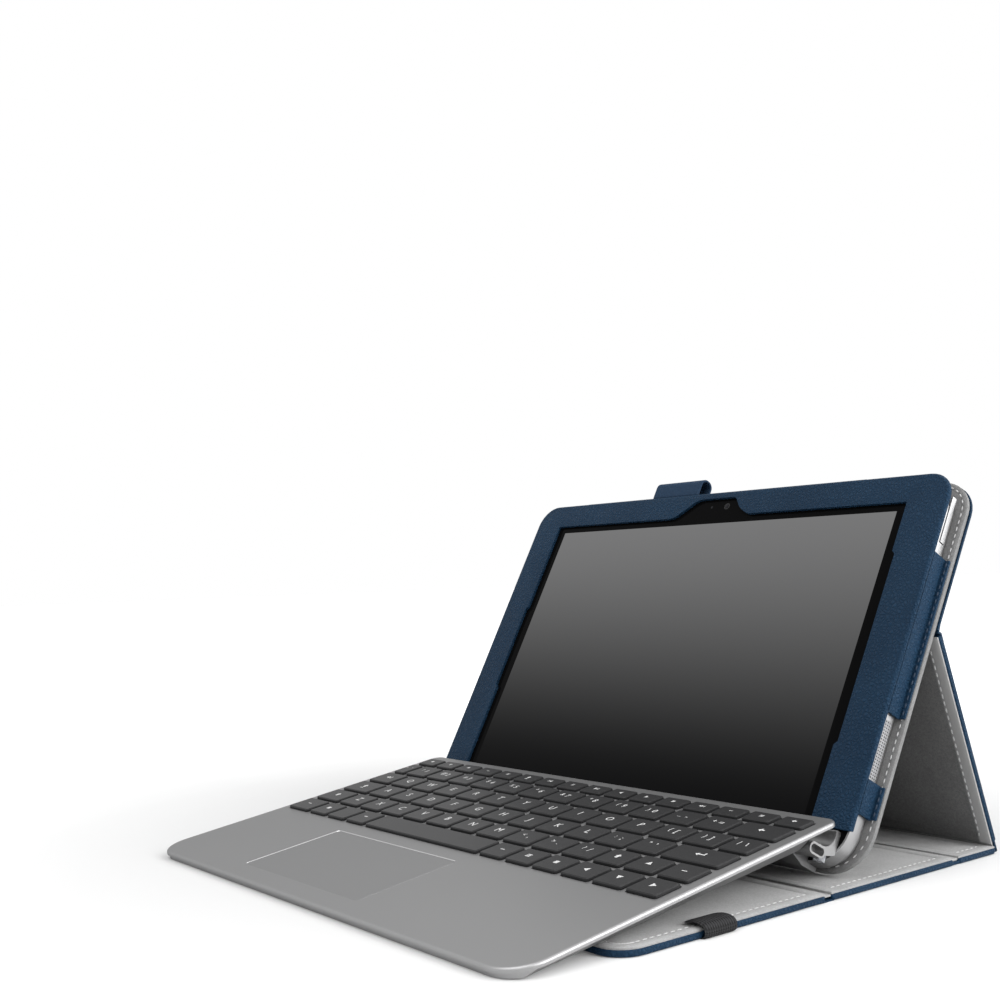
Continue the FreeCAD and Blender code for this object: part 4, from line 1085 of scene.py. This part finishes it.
# Stage: places and sizes in metres, apart from the floor's drop in millimetres

FLOOR_SIZE = 9.0
FLOOR_DROP = 0.1
ROOM_LIGHT = 0.34

# Camera fitted to the photograph's straight edges: azimuth, height and roll in degrees
CAMERA_TURN = (50.52, -0.13, -1.75)
CAMERA_SPOT = (0.4383, -0.4129, 0.1219)
CAMERA_SHIFT = (-0.055, 0.070)
SENSOR_WIDTH = 36.0
FOCAL_RATIO = 1.3006


def floor():
    """Pale floor that shows white to the camera and keeps the object's shadow."""
    mesh = bmesh.new()
    bmesh.ops.create_grid(mesh, x_segments=1, y_segments=1, size=FLOOR_SIZE)
    made = linked("floor", mesh_data("floor", nudge(mesh, 0, 0, -FLOOR_DROP)))
    pale = Finish("pale_floor")
    pale.set(Base_Color=grey(0.80), Roughness=0.9)
    away = pale.number("ShaderNodeVectorMath", {"operation": "LENGTH"}, {0: pale.place()}, "Value")
    near, far = 0.14, 0.75
    strength = pale.seen_by("Camera", "Glossy") * (away.between(near, far) * 0.78 + 0.05)
    glow = pale.node("ShaderNodeEmission", None, {"Strength": strength})
    both = pale.node("ShaderNodeAddShader", None, {0: pale.shader.outputs[0], 1: glow.outputs[0]})
    pale.feed(pale.tree.nodes["Material Output"].inputs["Surface"], both.outputs[0])
    made.data.materials.append(pale.material)


def sky():
    """Soft room light from all round, white to the camera and in reflections."""
    world = bpy.data.worlds.new("studio")
    bpy.context.scene.world = world
    world.use_nodes = True
    room = Nodes(world.node_tree)
    light = room.tree.nodes["Background"]
    room.feed(light.inputs["Color"], grey(1.0))
    room.feed(light.inputs["Strength"], ROOM_LIGHT)
    white = room.node("ShaderNodeBackground", None, {"Color": grey(1.0), "Strength": 1.0})
    shown = room.seen_by("Camera", "Glossy", "Transmission")
    choice = room.node("ShaderNodeMixShader", None, {0: shown, 1: light.outputs[0], 2: white.outputs[0]})
    room.feed(room.tree.nodes["World Output"].inputs["Surface"], choice.outputs[0])


def lamp(name, spot, aim, size, power):
    """Square soft box."""
    data = bpy.data.lights.new(name, "AREA")
    data.shape = "SQUARE"
    data.size = size
    data.energy = power
    made = linked(name, data)
    made.location = spot
    made.rotation_euler = (Vector(aim) - Vector(spot)).to_track_quat("-Z", "Y").to_euler()


def camera():
    azimuth, height, roll = [math.radians(angle) for angle in CAMERA_TURN]
    level = math.cos(height)
    back = Vector((math.sin(azimuth) * level, -math.cos(azimuth) * level, math.sin(height)))
    right = Vector((0, 0, 1)).cross(back).normalized()
    up = back.cross(right)
    rolled = right * math.cos(roll) + up * math.sin(roll)
    raised = up * math.cos(roll) - right * math.sin(roll)
    data = bpy.data.cameras.new("camera")
    data.sensor_width = SENSOR_WIDTH
    data.lens = FOCAL_RATIO * SENSOR_WIDTH
    data.shift_x, data.shift_y = CAMERA_SHIFT
    data.clip_start = 0.01
    made = linked("camera", data)
    turn = Matrix((rolled, raised, back)).transposed().to_4x4()
    made.matrix_world = Matrix.Translation(CAMERA_SPOT) @ turn
    bpy.context.scene.camera = made


base_cover()
front_flap()
elastic_band()
stand_panel()
creases()
pocket_back()
pocket_front()
pen_loop()
camera_window()
trackpad_rim()
key_legends()
paint_solids()
floor()
sky()
lamp("key_light", (0.3, -0.9, 1.6), aim=(0.05, -0.05, 0.05), size=1.7, power=18.5)
lamp("side_light", (1.15, 0.35, 0.65), aim=(0.1, 0, 0.03), size=1.0, power=15.5)
lamp("edge_light", (0.95, 1.0, 0.30), aim=(0.13, -0.05, 0.03), size=0.7, power=3.5)
lamp("rear_light", (0.2, 1.1, 1.3), aim=(0, 0, 0.08), size=1.0, power=4.0)
camera()
bpy.context.scene.view_settings.view_transform = "Standard"
bpy.data.meshes.remove(STITCH)
